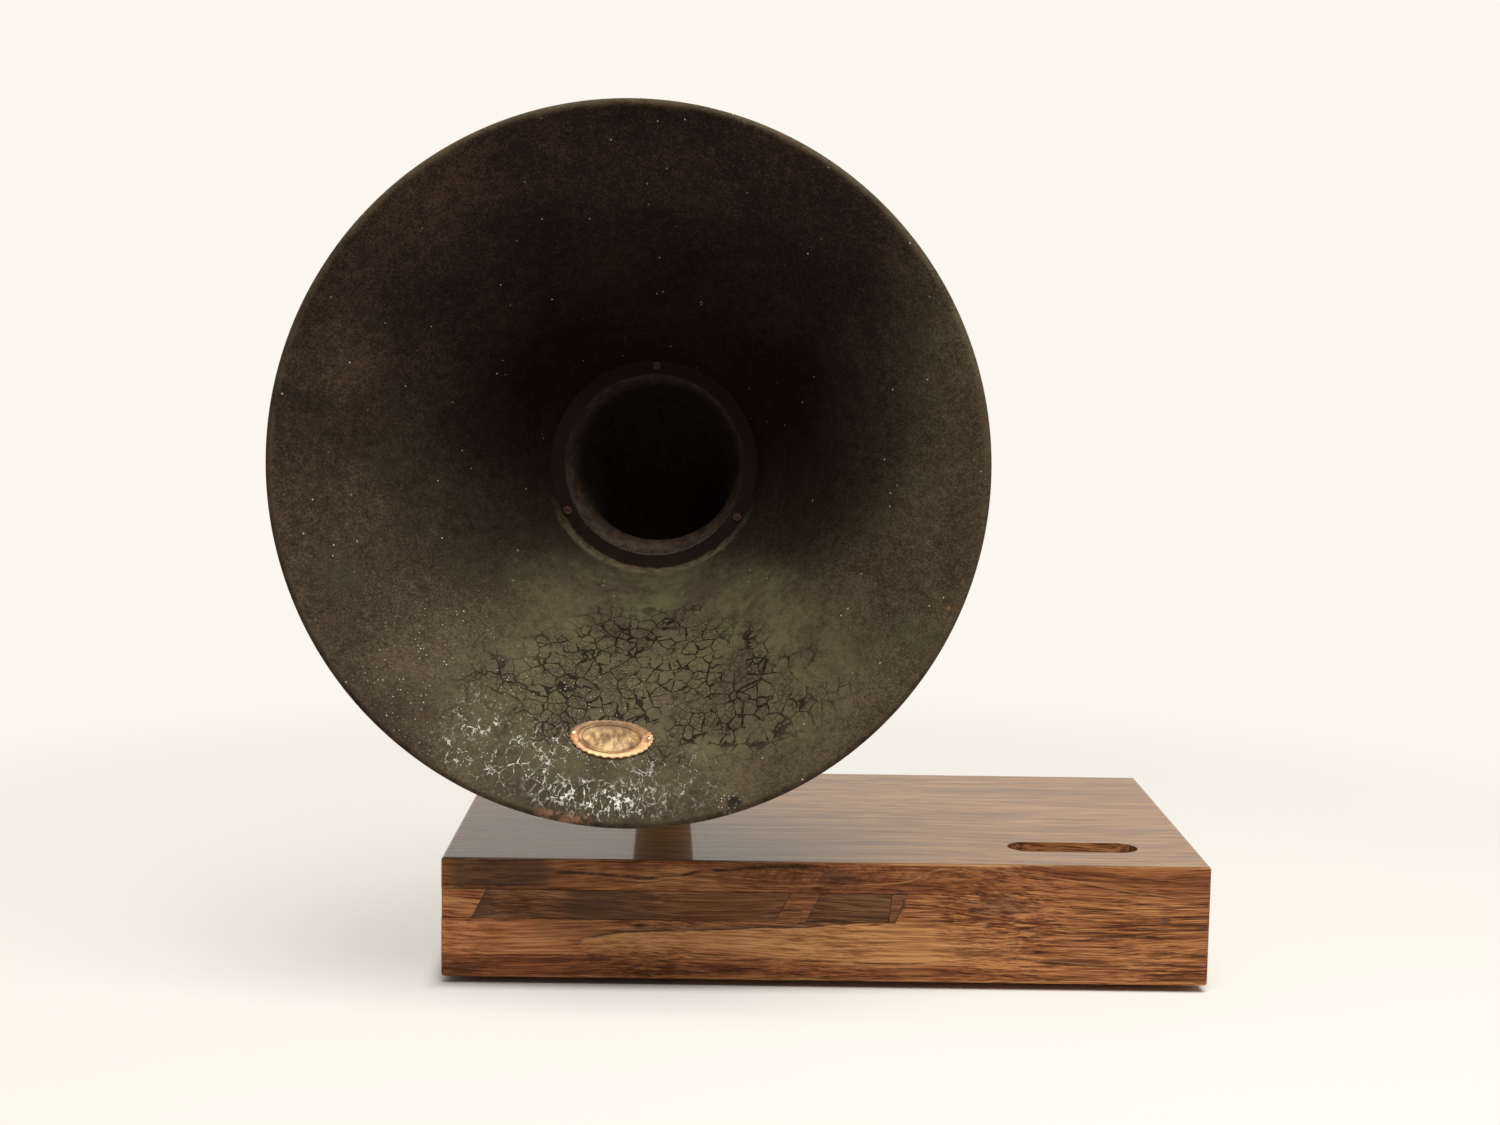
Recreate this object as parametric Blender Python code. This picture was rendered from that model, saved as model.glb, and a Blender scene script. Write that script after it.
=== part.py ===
"""Acoustic horn stand: a flared sheet-metal bell on a gooseneck that turns in a hardwood block.

Sound enters at the slot in the block's top.
It runs through a channel under the wood, up the neck and out of the bell.
Metres, +Z up. The bell faces -Y and the feet stand on z = 0.
"""

import math

import bmesh
import bpy
from mathutils import Matrix, Vector

# Fit between neighbouring pieces, overshoot of a cut past a face, and the distance that joins points
CLEAR = 0.0003
OVER = 0.002
WELD = 0.000001

# Part of a curve that its direction is measured over, the corners that are drawn as sharp, and a round bevel
NEARBY = 0.001
SHARP = math.radians(35)
ROUND_PROFILE = 0.5

# Wood block, with its front face at -Y
BLOCK_W = 0.406
BLOCK_D = 0.226
BLOCK_H = 0.0645
BLOCK_EDGE = 0.0015

# Strip of let-in pieces along the left part of the block's front face
INLAY_DROP = 0.0167
INLAY_H = 0.0156
INLAY_DEPTH = 0.018
# Joints of the strip, each as top and bottom distance from the block's left end
INLAY_CUTS = ((0.0240, 0.0160), (0.1846, 0.1757), (0.2002, 0.1926), (0.2376, 0.2362), (0.2455, 0.2395))

# Slot and sound port, measured from the block's centre line and from its front face
SLOT_X = 0.1355
SLOT_Y = 0.0405
SLOT_LEN = 0.071
SLOT_W = 0.0215
SLOT_DEPTH = 0.024
PORT_LEN = 0.030
PORT_W = 0.012

# Sound channel under the block, and the board that closes it
CHANNEL_W = 0.024
CHANNEL_TOP = 0.034
COVER_T = 0.006
COVER_W = 0.050
COVER_SCREW_LEN = 0.018
COVER_SCREW_R = 0.0018
COVER_HEAD_R = 0.0038
COVER_HEAD_H = 0.0022
# Outer screws of the board, as a share of the channel's run from its middle
COVER_REACH = 0.44

# Feet
FOOT_R = 0.0095
FOOT_H = 0.004
FOOT_INSET = 0.023
FOOT_LIP = 0.0008
FOOT_SCREW_R = 0.0018
FOOT_SCREW_LEN = 0.016
FOOT_HEAD_R = 0.0036
FOOT_HEAD_H = 0.0014

# Swivel of the neck, measured like the slot
NECK_X = -0.0910
NECK_Y = 0.152
NECK_TURN = math.radians(3.9)
SPIGOT_R = 0.0150
SPIGOT_LEN = 0.026
BUSH_WALL = 0.0037
BUSH_LEN = 0.028
FELT_T = 0.0015
COLLAR_R = 0.0205
COLLAR_H = 0.006

# Gooseneck, from its collar up to the flange behind the bell
NECK_REACH = 0.074
NECK_RISE = 0.2032
NECK_BORE_R = 0.0125
NECK_WALL = 0.003
NECK_BEND_TOP = 0.066
NECK_BEND_FOOT = 0.105
NECK_FLANGE_R = 0.059
NECK_FLANGE_T = 0.005

# Bell
BELL_TILT = math.radians(3.3)
BELL_T = 0.001
BELL_DEPTH = 0.138
MOUTH_R = 0.1785
THROAT_R = 0.0575
BORE_R = 0.0495
START_ANGLE = math.radians(22)
END_ANGLE = math.radians(63)
START_PULL = 0.070
END_PULL = 0.060
CURL_R = 0.0021
CURL_ANGLE = math.radians(285)
WIRE_R = 0.00125

# Three screws of the bell's flange
SCREW_CIRCLE = 0.0544
SCREW_START = math.radians(89)
SCREW_R = 0.0015
SCREW_HEAD_R = 0.0026
SCREW_HEAD_H = 0.0016
SCREW_LEN = 0.0055

# Oval plate on the bell
BADGE_ANGLE = math.radians(-93)
BADGE_AT = 0.752
BADGE_W = 0.0425
BADGE_H = 0.0215
BADGE_T = 0.0009
BADGE_RIDGE = 0.0006
BADGE_LOBES = 24
BADGE_LOBE = 0.0003
PIN_AT = 0.91
PIN_R = 0.0006
PIN_HEAD_R = 0.0013
PIN_HEAD_H = 0.0009
PIN_LEN = 0.0024

# Facets round each kind of turned piece
BELL_SEGS = 60
NECK_SEGS = 32
SMALL_SEGS = 14
PIN_SEGS = 10

# Lines that follow from the sizes above
BEAD_R = CURL_R + BELL_T / 2
BUSH_R = SPIGOT_R + CLEAR + BUSH_WALL
COLLAR_Z = FELT_T + 2 * CLEAR
COLLAR_TOP = COLLAR_Z + COLLAR_H


def section_of_bead():
    """Centre of the rolled rim's section, as radius and height along the bell's axis."""
    return Vector((MOUTH_R - BEAD_R, BELL_DEPTH - BEAD_R))


def footprint():
    """Where the block's front centre goes so that the whole object is centred on the origin."""
    side = -math.sin(NECK_TURN) * math.cos(BELL_TILT)
    front = -math.cos(NECK_TURN) * math.cos(BELL_TILT)
    bead = section_of_bead()
    x = NECK_X - math.sin(NECK_TURN) * NECK_REACH + side * bead.y
    y = NECK_Y - math.cos(NECK_TURN) * NECK_REACH + front * bead.y
    half_x = bead.x * math.sqrt(1 - side * side) + BEAD_R
    half_y = bead.x * math.sqrt(1 - front * front) + BEAD_R
    low_x = min(-BLOCK_W / 2, x - half_x)
    high_x = max(BLOCK_W / 2, x + half_x)
    low_y = min(0.0, y - half_y)
    return Vector((-(low_x + high_x) / 2, -(low_y + BLOCK_D) / 2, FOOT_H))


FRONT = footprint()


def on_block(x, y, z):
    """A place on the block, from its front centre at the bottom."""
    return Vector((FRONT.x + x, FRONT.y + y, FRONT.z + z))


def material(name, colour, metallic, roughness):
    mat = bpy.data.materials.new(name)
    mat.use_nodes = True
    shader = mat.node_tree.nodes["Principled BSDF"]
    shader.inputs["Base Color"].default_value = (*colour, 1.0)
    shader.inputs["Metallic"].default_value = metallic
    shader.inputs["Roughness"].default_value = roughness
    return mat


def finish(name, bm, mat=None, parent=None, place=Matrix(), smooth=False):
    """Turns a bmesh into an object at a place. A piece without a material is a cutter and stays hidden."""
    bmesh.ops.recalc_face_normals(bm, faces=bm.faces)
    mesh = bpy.data.meshes.new(name)
    bm.to_mesh(mesh)
    bm.free()
    obj = bpy.data.objects.new(name, mesh)
    bpy.context.scene.collection.objects.link(obj)
    obj.parent = parent
    obj.matrix_basis = place
    if mat is None:
        obj.hide_render = True
        obj.display_type = "WIRE"
        return obj
    mesh.materials.append(mat)
    if smooth:
        mesh.shade_smooth()
        mesh.set_sharp_from_angle(angle=SHARP)
    return obj


def empty(name, location, rotation=(0, 0, 0), parent=None):
    obj = bpy.data.objects.new(name, None)
    bpy.context.scene.collection.objects.link(obj)
    obj.location = location
    obj.rotation_euler = rotation
    obj.parent = parent
    return obj


def cut(obj, cutter):
    mod = obj.modifiers.new(cutter.name, "BOOLEAN")
    mod.operation = "DIFFERENCE"
    mod.solver = "EXACT"
    mod.object = cutter


def skin(bm, rings, closed):
    """Joins rings of vertices into a surface. A ring of one vertex is a pole."""
    pairs = list(zip(rings, rings[1:]))
    if closed:
        pairs.append((rings[-1], rings[0]))
    for low, high in pairs:
        count = max(len(low), len(high))
        for i in range(count):
            j = (i + 1) % count
            if len(low) == 1:
                bm.faces.new((low[0], high[j], high[i]))
            elif len(high) == 1:
                bm.faces.new((low[i], low[j], high[0]))
            else:
                bm.faces.new((low[i], low[j], high[j], high[i]))


def lathe(profile, segs):
    """A section of (radius, height) points turned about Z."""
    bm = bmesh.new()
    verts = [bm.verts.new((radius, 0, height)) for radius, height in profile]
    edges = [bm.edges.new(pair) for pair in zip(verts, verts[1:])]
    if profile[0][0] > 0:
        edges.append(bm.edges.new((verts[-1], verts[0])))
    about = {"cent": (0, 0, 0), "axis": (0, 0, 1), "angle": 2 * math.pi}
    bmesh.ops.spin(bm, geom=verts + edges, steps=segs, use_merge=True, **about)
    bmesh.ops.remove_doubles(bm, verts=bm.verts, dist=WELD)
    return bm


def prism(outline, low, high):
    """An outline of (x, y) points raised between two heights."""
    bm = bmesh.new()
    base = bm.faces.new([bm.verts.new((x, y, low)) for x, y in outline])
    raised = bmesh.ops.extrude_face_region(bm, geom=[base])["geom"]
    top = [part for part in raised if isinstance(part, bmesh.types.BMVert)]
    bmesh.ops.translate(bm, verts=top, vec=(0, 0, high - low))
    return bm


def stadium(length, width, segs=12):
    """Outline of a slot with round ends, along X."""
    reach = (length - width) / 2
    points = []
    for side, start in ((1, -90), (-1, 90)):
        for i in range(segs + 1):
            a = math.radians(start + 180 * i / segs)
            points.append((side * reach + width / 2 * math.cos(a), width / 2 * math.sin(a)))
    return points


def rod(radius, low, high):
    return [(0, low), (radius, low), (radius, high), (0, high)]


def pan_screw(head_r, head_h, shank_r, length):
    """Section of a round-headed screw, with the head's underside at zero height."""
    tip = shank_r * 0.8
    dome = [(head_r, head_h * 0.35), (head_r * 0.85, head_h * 0.75), (head_r * 0.5, head_h * 0.95)]
    shank = [(0, -length), (shank_r * 0.4, -length), (shank_r, tip - length), (shank_r, 0)]
    return shank + [(head_r, 0)] + dome + [(0, head_h)]


def flat_screw(head_r, head_h, shank_r, length):
    """Section of a countersunk screw, with the top of the head at zero height."""
    tip = shank_r * 1.5
    return [(0, -length), (shank_r, tip - length), (shank_r, -head_h), (head_r, 0), (0, 0)]


def turned(name, profile, place, segs, mat=None, parent=None):
    """A turned piece, or a turned cutter where it has no material."""
    return finish(name, lathe(profile, segs), mat, parent, place, smooth=True)


def screw(name, section, top, head_r, place, mat, parent=None):
    """A turned screw with a straight slot across its head."""
    piece = turned(name, section, place, SMALL_SEGS, mat, parent)
    long = head_r * 2
    half = head_r * 0.16
    outline = [(-long, -half), (long, -half), (long, half), (-long, half)]
    bar = prism(outline, top - head_r * 0.25, top + head_r)
    cut(piece, finish(f"{name}_slot", bar, parent=parent, place=place))
    return piece


def move(x, y, z):
    return Matrix.Translation((x, y, z))


def bezier(points, t):
    u = 1 - t
    a, b, c, d = points
    return a * u**3 + b * (3 * u * u * t) + c * (3 * u * t * t) + d * t**3


def flare_points():
    """Control points of the bell's mid-line, as radius and height."""
    leave = Vector((math.sin(START_ANGLE), math.cos(START_ANGLE)))
    arrive = Vector((math.sin(END_ANGLE), math.cos(END_ANGLE)))
    start = Vector((THROAT_R, BELL_T / 2))
    end = section_of_bead() - Vector((arrive.y, -arrive.x)) * CURL_R
    return start, start + leave * START_PULL, end - arrive * END_PULL, end


def bell_line(steps=10, curl_steps=7):
    """Mid-line of the bell's sheet, from the bore through the flare to the end of the rolled rim."""
    flare = flare_points()
    line = [Vector((BORE_R, BELL_T / 2))]
    line += [bezier(flare, i / steps) for i in range(steps + 1)]
    bead = section_of_bead()
    arm = flare[3] - bead
    begin = math.atan2(arm.y, arm.x)
    for i in range(1, curl_steps + 1):
        a = begin - CURL_ANGLE * i / curl_steps
        line.append(bead + Vector((math.cos(a), math.sin(a))) * CURL_R)
    return line


def beside(line, gap):
    """The line moved to its right-hand side, with mitred corners."""
    moved = []
    for i, point in enumerate(line):
        before = (point - line[max(i - 1, 0)]).normalized()
        after = (line[min(i + 1, len(line) - 1)] - point).normalized()
        if before.length == 0:
            before = after
        if after.length == 0:
            after = before
        left = Vector((before.y, -before.x))
        right = Vector((after.y, -after.x))
        moved.append(point + (left + right) * (gap / (1 + left.dot(right))))
    return moved


def on_bell(along, across, lift):
    """A place on the bell's inside, by distances from the plate's centre and a height above the sheet."""
    flare = flare_points()
    speed = (bezier(flare, BADGE_AT + NEARBY) - bezier(flare, BADGE_AT - NEARBY)).length / (2 * NEARBY)
    t = BADGE_AT + along / speed
    point = bezier(flare, t)
    rise = (bezier(flare, t + NEARBY) - bezier(flare, t - NEARBY)).normalized()
    point = point + Vector((-rise.y, rise.x)) * (BELL_T / 2 + lift)
    a = BADGE_ANGLE + across / bezier(flare, BADGE_AT).x
    return Vector((point.x * math.cos(a), point.x * math.sin(a), point.y))


def build_block(mat):
    half = BLOCK_W / 2
    bm = prism([(-half, 0), (half, 0), (half, BLOCK_D), (-half, BLOCK_D)], 0, BLOCK_H)
    block = finish("wood_block", bm, mat, place=Matrix.Translation(FRONT))
    edge = block.modifiers.new("eased edges", "BEVEL")
    edge.width = BLOCK_EDGE
    edge.segments = 2
    return block


def strip_ends():
    """Pieces of the let-in strip, by the top and bottom of both ends, from the block's left end."""
    cuts = ((0.0, 0.0),) + INLAY_CUTS
    return [(*left, *right) for left, right in zip(cuts, cuts[1:])]


def strip_solid(ends, grow, depth, out=0.0):
    """A piece with slanted ends, let into the front face to a depth."""
    left_top, left_low, right_top, right_low = ends
    low = BLOCK_H - INLAY_DROP - INLAY_H - grow
    high = BLOCK_H - INLAY_DROP + grow
    lower = [(left_low - grow, low), (right_low + grow, low)]
    upper = [(right_top + grow, high), (left_top - grow, high)]
    bm = prism([(x - BLOCK_W / 2, z) for x, z in lower + upper], -depth, out)
    bmesh.ops.rotate(bm, verts=bm.verts, cent=(0, 0, 0), matrix=Matrix.Rotation(math.pi / 2, 3, "X"))
    return bm


def build_strip(block, mats):
    """Pieces let into a groove of the front face, end to end."""
    place = Matrix.Translation(FRONT)
    past = -OVER
    groove = strip_solid((past, past, *INLAY_CUTS[-1]), CLEAR / 2, INLAY_DEPTH + CLEAR, OVER)
    cut(block, finish("strip_groove", groove, place=place))
    for i, ends in enumerate(strip_ends()):
        bm = strip_solid(ends, -CLEAR / 2, INLAY_DEPTH)
        if i == 0:
            left = CLEAR - BLOCK_W / 2
            corner = [e for e in bm.edges if all(abs(v.co.y) < WELD and v.co.x < left for v in e.verts)]
            shape = {"offset": BLOCK_EDGE, "segments": 2, "profile": ROUND_PROFILE}
            bmesh.ops.bevel(bm, geom=corner, affect="EDGES", **shape)
        finish(f"front_inlay_{i + 1}", bm, mats[i % len(mats)], place=place)


def build_slot_and_channel(block, mats):
    """Cuts the slot and the channel below it, and closes the channel with a screwed board."""
    span = Vector((NECK_X - SLOT_X, NECK_Y - SLOT_Y))
    turn = Matrix.Rotation(math.atan2(span.y, span.x), 4, "Z")
    along = Matrix.Translation(on_block((SLOT_X + NECK_X) / 2, (SLOT_Y + NECK_Y) / 2, 0)) @ turn
    slot = Matrix.Translation(on_block(SLOT_X, SLOT_Y, 0))
    floor = BLOCK_H - SLOT_DEPTH
    run = span.length
    recess = COVER_W + 2 * CLEAR
    cuts = (
        ("phone_slot", stadium(SLOT_LEN, SLOT_W), floor, BLOCK_H + OVER, slot),
        ("sound_port", stadium(PORT_LEN, PORT_W), CHANNEL_TOP - OVER, floor + OVER, slot),
        ("sound_channel", stadium(run + CHANNEL_W, CHANNEL_W), COVER_T / 2, CHANNEL_TOP, along),
        ("cover_recess", stadium(run + COVER_W + CLEAR, recess), -OVER, COVER_T + CLEAR, along),
    )
    for name, outline, low, high, place in cuts:
        cut(block, finish(name, prism(outline, low, high), place=place))
    board = prism(stadium(run + COVER_W - CLEAR, COVER_W), 0, COVER_T)
    cover = finish("bottom_cover", board, mats["cover"], place=along)
    section = flat_screw(COVER_HEAD_R, COVER_HEAD_H, COVER_SCREW_R, COVER_SCREW_LEN)
    loose = COVER_SCREW_R + CLEAR
    wide = COVER_HEAD_R + 2 * CLEAR
    deep = -COVER_SCREW_LEN - OVER
    hole = [(0, deep), (loose, deep), (loose, -COVER_HEAD_H - CLEAR), (wide, 0), (wide, OVER), (0, OVER)]
    flip = Matrix.Rotation(math.pi, 4, "X")
    rail = (COVER_W + CHANNEL_W) / 4
    spots = [(u * run, v * rail) for u in (-COVER_REACH, 0, COVER_REACH) for v in (-1, 1)]
    for i, (u, v) in enumerate(spots):
        place = along @ move(u, v, 0) @ flip
        sunk = place @ move(0, 0, -CLEAR / 2)
        screw(f"cover_screw_{i + 1}", section, 0, COVER_HEAD_R, sunk, mats["screw"])
        cut(cover, turned(f"cover_hole_{i + 1}", hole, place, SMALL_SEGS))
        cut(block, turned(f"cover_pilot_{i + 1}", rod(loose, deep, OVER), place, SMALL_SEGS))


def build_feet(block, mats):
    """Four soft feet, each held by a screw whose head is sunk in it."""
    top = FOOT_H - CLEAR
    hole = FOOT_SCREW_R + CLEAR
    wide = FOOT_HEAD_R + CLEAR
    seat = CLEAR + FOOT_HEAD_H
    lip = FOOT_LIP
    profile = [(wide, 0), (FOOT_R - 2 * lip, 0), (FOOT_R - lip, lip), (FOOT_R, top)]
    profile += [(hole, top), (hole, seat + CLEAR), (wide, seat + CLEAR)]
    section = pan_screw(FOOT_HEAD_R, FOOT_HEAD_H, FOOT_SCREW_R, FOOT_SCREW_LEN)
    flip = Matrix.Rotation(math.pi, 4, "X")
    x = BLOCK_W / 2 - FOOT_INSET
    spots = {
        "front_left": (-x, FOOT_INSET),
        "front_right": (x, FOOT_INSET),
        "rear_left": (-x, BLOCK_D - FOOT_INSET),
        "rear_right": (x, BLOCK_D - FOOT_INSET),
    }
    for corner, (px, py) in spots.items():
        stand = Matrix.Translation(on_block(px, py, -FOOT_H))
        turned(f"foot_{corner}", profile, stand, SMALL_SEGS, mats["foot"])
        place = stand @ move(0, 0, seat) @ flip
        screw(f"foot_screw_{corner}", section, FOOT_HEAD_H, FOOT_HEAD_R, place, mats["screw"])
        cut(block, turned(f"foot_pilot_{corner}", rod(hole, -FOOT_SCREW_LEN - OVER, 0), place, SMALL_SEGS))


def build_socket(block, mats):
    """Bush let into the block and the felt ring on it, which carry the turning neck."""
    place = Matrix.Translation(on_block(NECK_X, NECK_Y, BLOCK_H))
    low = -BUSH_LEN - CLEAR
    cut(block, turned("bush_bore", rod(BUSH_R + CLEAR, low, OVER), place, NECK_SEGS))
    duct = rod(NECK_BORE_R, CHANNEL_TOP - BLOCK_H - OVER, low + OVER)
    cut(block, turned("sound_duct", duct, place, NECK_SEGS))
    inner = SPIGOT_R + CLEAR
    bush = [(inner, -BUSH_LEN), (BUSH_R, -BUSH_LEN), (BUSH_R, 0), (inner, 0)]
    felt = [(inner, CLEAR), (COLLAR_R, CLEAR), (COLLAR_R, CLEAR + FELT_T), (inner, CLEAR + FELT_T)]
    turned("socket_bush", bush, place, NECK_SEGS, mats["bush"])
    turned("felt_washer", felt, place, NECK_SEGS, mats["felt"])


def build_neck(pivot, mat):
    """Hollow gooseneck: flange, tapering bend, collar and spigot, about the swivel's axis."""
    back = Vector((0, math.cos(BELL_TILT), -math.sin(BELL_TILT)))
    up = Vector((0, 0, 1))
    face = Vector((0, -NECK_REACH, NECK_RISE)) + back * CLEAR
    start = face + back * NECK_FLANGE_T
    end = up * COLLAR_TOP
    path = (start, start + back * NECK_BEND_TOP, end + up * NECK_BEND_FOOT, end)
    steps = 14
    spots = [bezier(path, i / steps) for i in range(steps + 1)]
    run = [0.0]
    for before, after in zip(spots, spots[1:]):
        run.append(run[-1] + (after - before).length)
    bm = bmesh.new()

    def ring(centre, ahead, radius):
        across = Vector((1, 0, 0))
        other = ahead.cross(across)
        turns = [2 * math.pi * i / NECK_SEGS for i in range(NECK_SEGS)]
        return [bm.verts.new(centre + (across * math.cos(a) + other * math.sin(a)) * radius) for a in turns]

    def bend_ring(i, extra):
        t = i / steps
        ahead = (bezier(path, min(t + NEARBY, 1)) - bezier(path, max(t - NEARBY, 0))).normalized()
        if i == 0:
            ahead = back
        if i == steps:
            ahead = -up
        radius = BORE_R * (NECK_BORE_R / BORE_R) ** (run[i] / run[-1])
        return ring(spots[i], ahead, radius + extra)

    rings = [ring(face, back, BORE_R), ring(face, back, NECK_FLANGE_R), ring(start, back, NECK_FLANGE_R)]
    rings += [bend_ring(i, NECK_WALL) for i in range(steps + 1)]
    spigot_end = COLLAR_Z - SPIGOT_LEN
    collar = [(COLLAR_TOP, COLLAR_R), (COLLAR_Z, COLLAR_R)]
    for height, radius in collar + [(COLLAR_Z, SPIGOT_R), (spigot_end, SPIGOT_R)]:
        rings.append(ring(up * height, -up, radius))
    rings.append(ring(up * spigot_end, -up, NECK_BORE_R))
    rings += [bend_ring(i, 0.0) for i in range(steps, -1, -1)]
    skin(bm, rings, True)
    return finish("neck", bm, mat, pivot, smooth=True)


def build_bell(frame, mats):
    """Spun sheet with a flat flange at the throat and a rim rolled over a wire."""
    line = bell_line()
    section = beside(line, BELL_T / 2) + beside(line, -BELL_T / 2)[::-1]
    bell = turned("bell", [tuple(p) for p in section], Matrix(), BELL_SEGS, mats["bell"], frame)
    bead = section_of_bead()
    turns = [2 * math.pi * i / 6 for i in range(6)]
    wire = [(bead.x + WIRE_R * math.cos(a), bead.y + WIRE_R * math.sin(a)) for a in turns]
    turned("rim_wire", wire, Matrix(), BELL_SEGS, mats["wire"], frame)
    return bell


def build_flange_screws(bell, neck, frame, mat):
    """Three screws through the bell's flange into the neck."""
    section = pan_screw(SCREW_HEAD_R, SCREW_HEAD_H, SCREW_R, SCREW_LEN)
    deep = BELL_T + 3 * CLEAR + NECK_FLANGE_T + OVER
    for i in range(3):
        a = SCREW_START + 2 * math.pi * i / 3
        spot = move(SCREW_CIRCLE * math.cos(a), SCREW_CIRCLE * math.sin(a), BELL_T + CLEAR)
        place = spot @ Matrix.Rotation(a * 1.7, 4, "Z")
        screw(f"flange_screw_{i + 1}", section, SCREW_HEAD_H, SCREW_HEAD_R, place, mat, frame)
        shaft = rod(SCREW_R + CLEAR, -deep, OVER)
        hole = turned(f"flange_hole_{i + 1}", shaft, place, SMALL_SEGS, parent=frame)
        cut(bell, hole)
        cut(neck, hole)


def build_badge(bell, frame, mats):
    """Blank oval plate with a ridge and a scalloped edge, bent to the bell and held by two pins."""
    under = 2 * CLEAR
    steps = 48
    crest = BADGE_T + BADGE_RIDGE
    levels = [(1.0, 0.0), (1.0, BADGE_T * 0.7), (0.95, BADGE_T), (0.75, BADGE_T)]
    levels += [(0.71, crest), (0.66, crest), (0.61, BADGE_T * 0.8)]
    bm = bmesh.new()
    rings = [[bm.verts.new(on_bell(0, 0, under))]]
    for share, lift in levels:
        ring = []
        for i in range(steps):
            a = 2 * math.pi * i / steps
            edge = BADGE_LOBE * math.cos(BADGE_LOBES * a) if share == 1.0 else 0.0
            across = (BADGE_W / 2 * share + edge) * math.cos(a)
            along = (BADGE_H / 2 * share + edge) * math.sin(a)
            ring.append(bm.verts.new(on_bell(along, across, under + lift)))
        rings.append(ring)
    rings.append([bm.verts.new(on_bell(0, 0, under + BADGE_T))])
    skin(bm, rings, False)
    badge = finish("badge_plate", bm, mats["badge"], frame, smooth=True)
    section = pan_screw(PIN_HEAD_R, PIN_HEAD_H, PIN_R, PIN_LEN)
    for side, name in ((-1, "left"), (1, "right")):
        across = side * PIN_AT * BADGE_W / 2
        seat = on_bell(0, across, under + BADGE_T + CLEAR)
        out = (seat - on_bell(0, across, 0)).normalized()
        place = Matrix.Translation(seat) @ out.to_track_quat("Z", "Y").to_matrix().to_4x4()
        turned(f"badge_pin_{name}", section, place, PIN_SEGS, mats["pin"], frame)
        shaft = rod(PIN_R + CLEAR, -PIN_LEN - OVER, OVER)
        hole = turned(f"pin_hole_{name}", shaft, place, PIN_SEGS, parent=frame)
        cut(badge, hole)
        cut(bell, hole)


def main():
    for obj in list(bpy.data.objects):
        bpy.data.objects.remove(obj)
    mats = {
        "cover": material("plywood", (0.33, 0.20, 0.10), 0.0, 0.7),
        "screw": material("steel", (0.45, 0.44, 0.42), 1.0, 0.4),
        "foot": material("black rubber", (0.02, 0.02, 0.02), 0.0, 0.8),
        "bush": material("brass bush", (0.62, 0.44, 0.19), 1.0, 0.35),
        "felt": material("brown felt", (0.07, 0.05, 0.035), 0.0, 0.95),
        "bell": material("crackled dark paint", (0.045, 0.04, 0.033), 0.1, 0.5),
        "wire": material("iron wire", (0.25, 0.23, 0.21), 1.0, 0.5),
        "badge": material("copper plate", (0.66, 0.40, 0.24), 1.0, 0.35),
        "pin": material("brass pin", (0.75, 0.58, 0.30), 1.0, 0.3),
    }
    wood = material("varnished hardwood", (0.20, 0.085, 0.04), 0.0, 0.3)
    inlays = [
        material("light inlay", (0.27, 0.12, 0.055), 0.0, 0.3),
        material("dark inlay", (0.11, 0.055, 0.033), 0.0, 0.3),
    ]
    block = build_block(wood)
    build_strip(block, inlays)
    build_slot_and_channel(block, mats)
    build_feet(block, mats)
    build_socket(block, mats)
    pivot = empty("neck_pivot", on_block(NECK_X, NECK_Y, BLOCK_H), (0, 0, -NECK_TURN))
    lean = (math.pi / 2 - BELL_TILT, 0, 0)
    frame = empty("bell_frame", (0, -NECK_REACH, NECK_RISE), lean, pivot)
    neck = build_neck(pivot, material("dark brown enamel", (0.06, 0.035, 0.025), 0.2, 0.4))
    bell = build_bell(frame, mats)
    build_flange_screws(bell, neck, frame, mats["screw"])
    build_badge(bell, frame, mats)


main()
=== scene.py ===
"""Looks of the horn loudspeaker: crazed dark bell, brown gooseneck and varnished block, on a pale floor."""

import math

import bmesh
import bpy
from mathutils import Matrix, Vector, noise


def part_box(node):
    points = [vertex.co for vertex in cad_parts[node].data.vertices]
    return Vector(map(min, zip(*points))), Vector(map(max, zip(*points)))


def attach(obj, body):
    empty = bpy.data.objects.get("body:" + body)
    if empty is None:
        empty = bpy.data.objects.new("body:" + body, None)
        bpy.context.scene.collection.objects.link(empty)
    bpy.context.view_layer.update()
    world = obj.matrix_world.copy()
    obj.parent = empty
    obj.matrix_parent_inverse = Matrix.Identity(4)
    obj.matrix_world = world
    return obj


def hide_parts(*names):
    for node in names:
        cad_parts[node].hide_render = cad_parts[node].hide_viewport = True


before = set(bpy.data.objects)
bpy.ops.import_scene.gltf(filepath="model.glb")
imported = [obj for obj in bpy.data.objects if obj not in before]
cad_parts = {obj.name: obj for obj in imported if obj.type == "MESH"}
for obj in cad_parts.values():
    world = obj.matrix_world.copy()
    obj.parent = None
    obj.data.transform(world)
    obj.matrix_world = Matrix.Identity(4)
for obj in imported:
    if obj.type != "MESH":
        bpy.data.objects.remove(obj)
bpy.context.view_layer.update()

# Camera: focal length in pixels of a picture 1500 wide, place in metres, and turns in degrees
PICTURE_W = 1500
FOCAL_PX = 2170
SENSOR_MM = 36
CAMERA_AT = Vector((-0.01114, -1.19253, 0.3525))
CAMERA_YAW = -0.43
CAMERA_PITCH = -6.42
CAMERA_ROLL = 0.87

# Swivel of the neck, and the bell's frame: X to the right, Y up, Z out of the mouth
SWIVEL_AT = Vector((-0.05084, 0.07647, 0.0685))
NECK_TURN = math.radians(3.9)
NECK_REACH = 0.074
NECK_RISE = 0.2032
BELL_TILT = math.radians(3.3)

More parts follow.
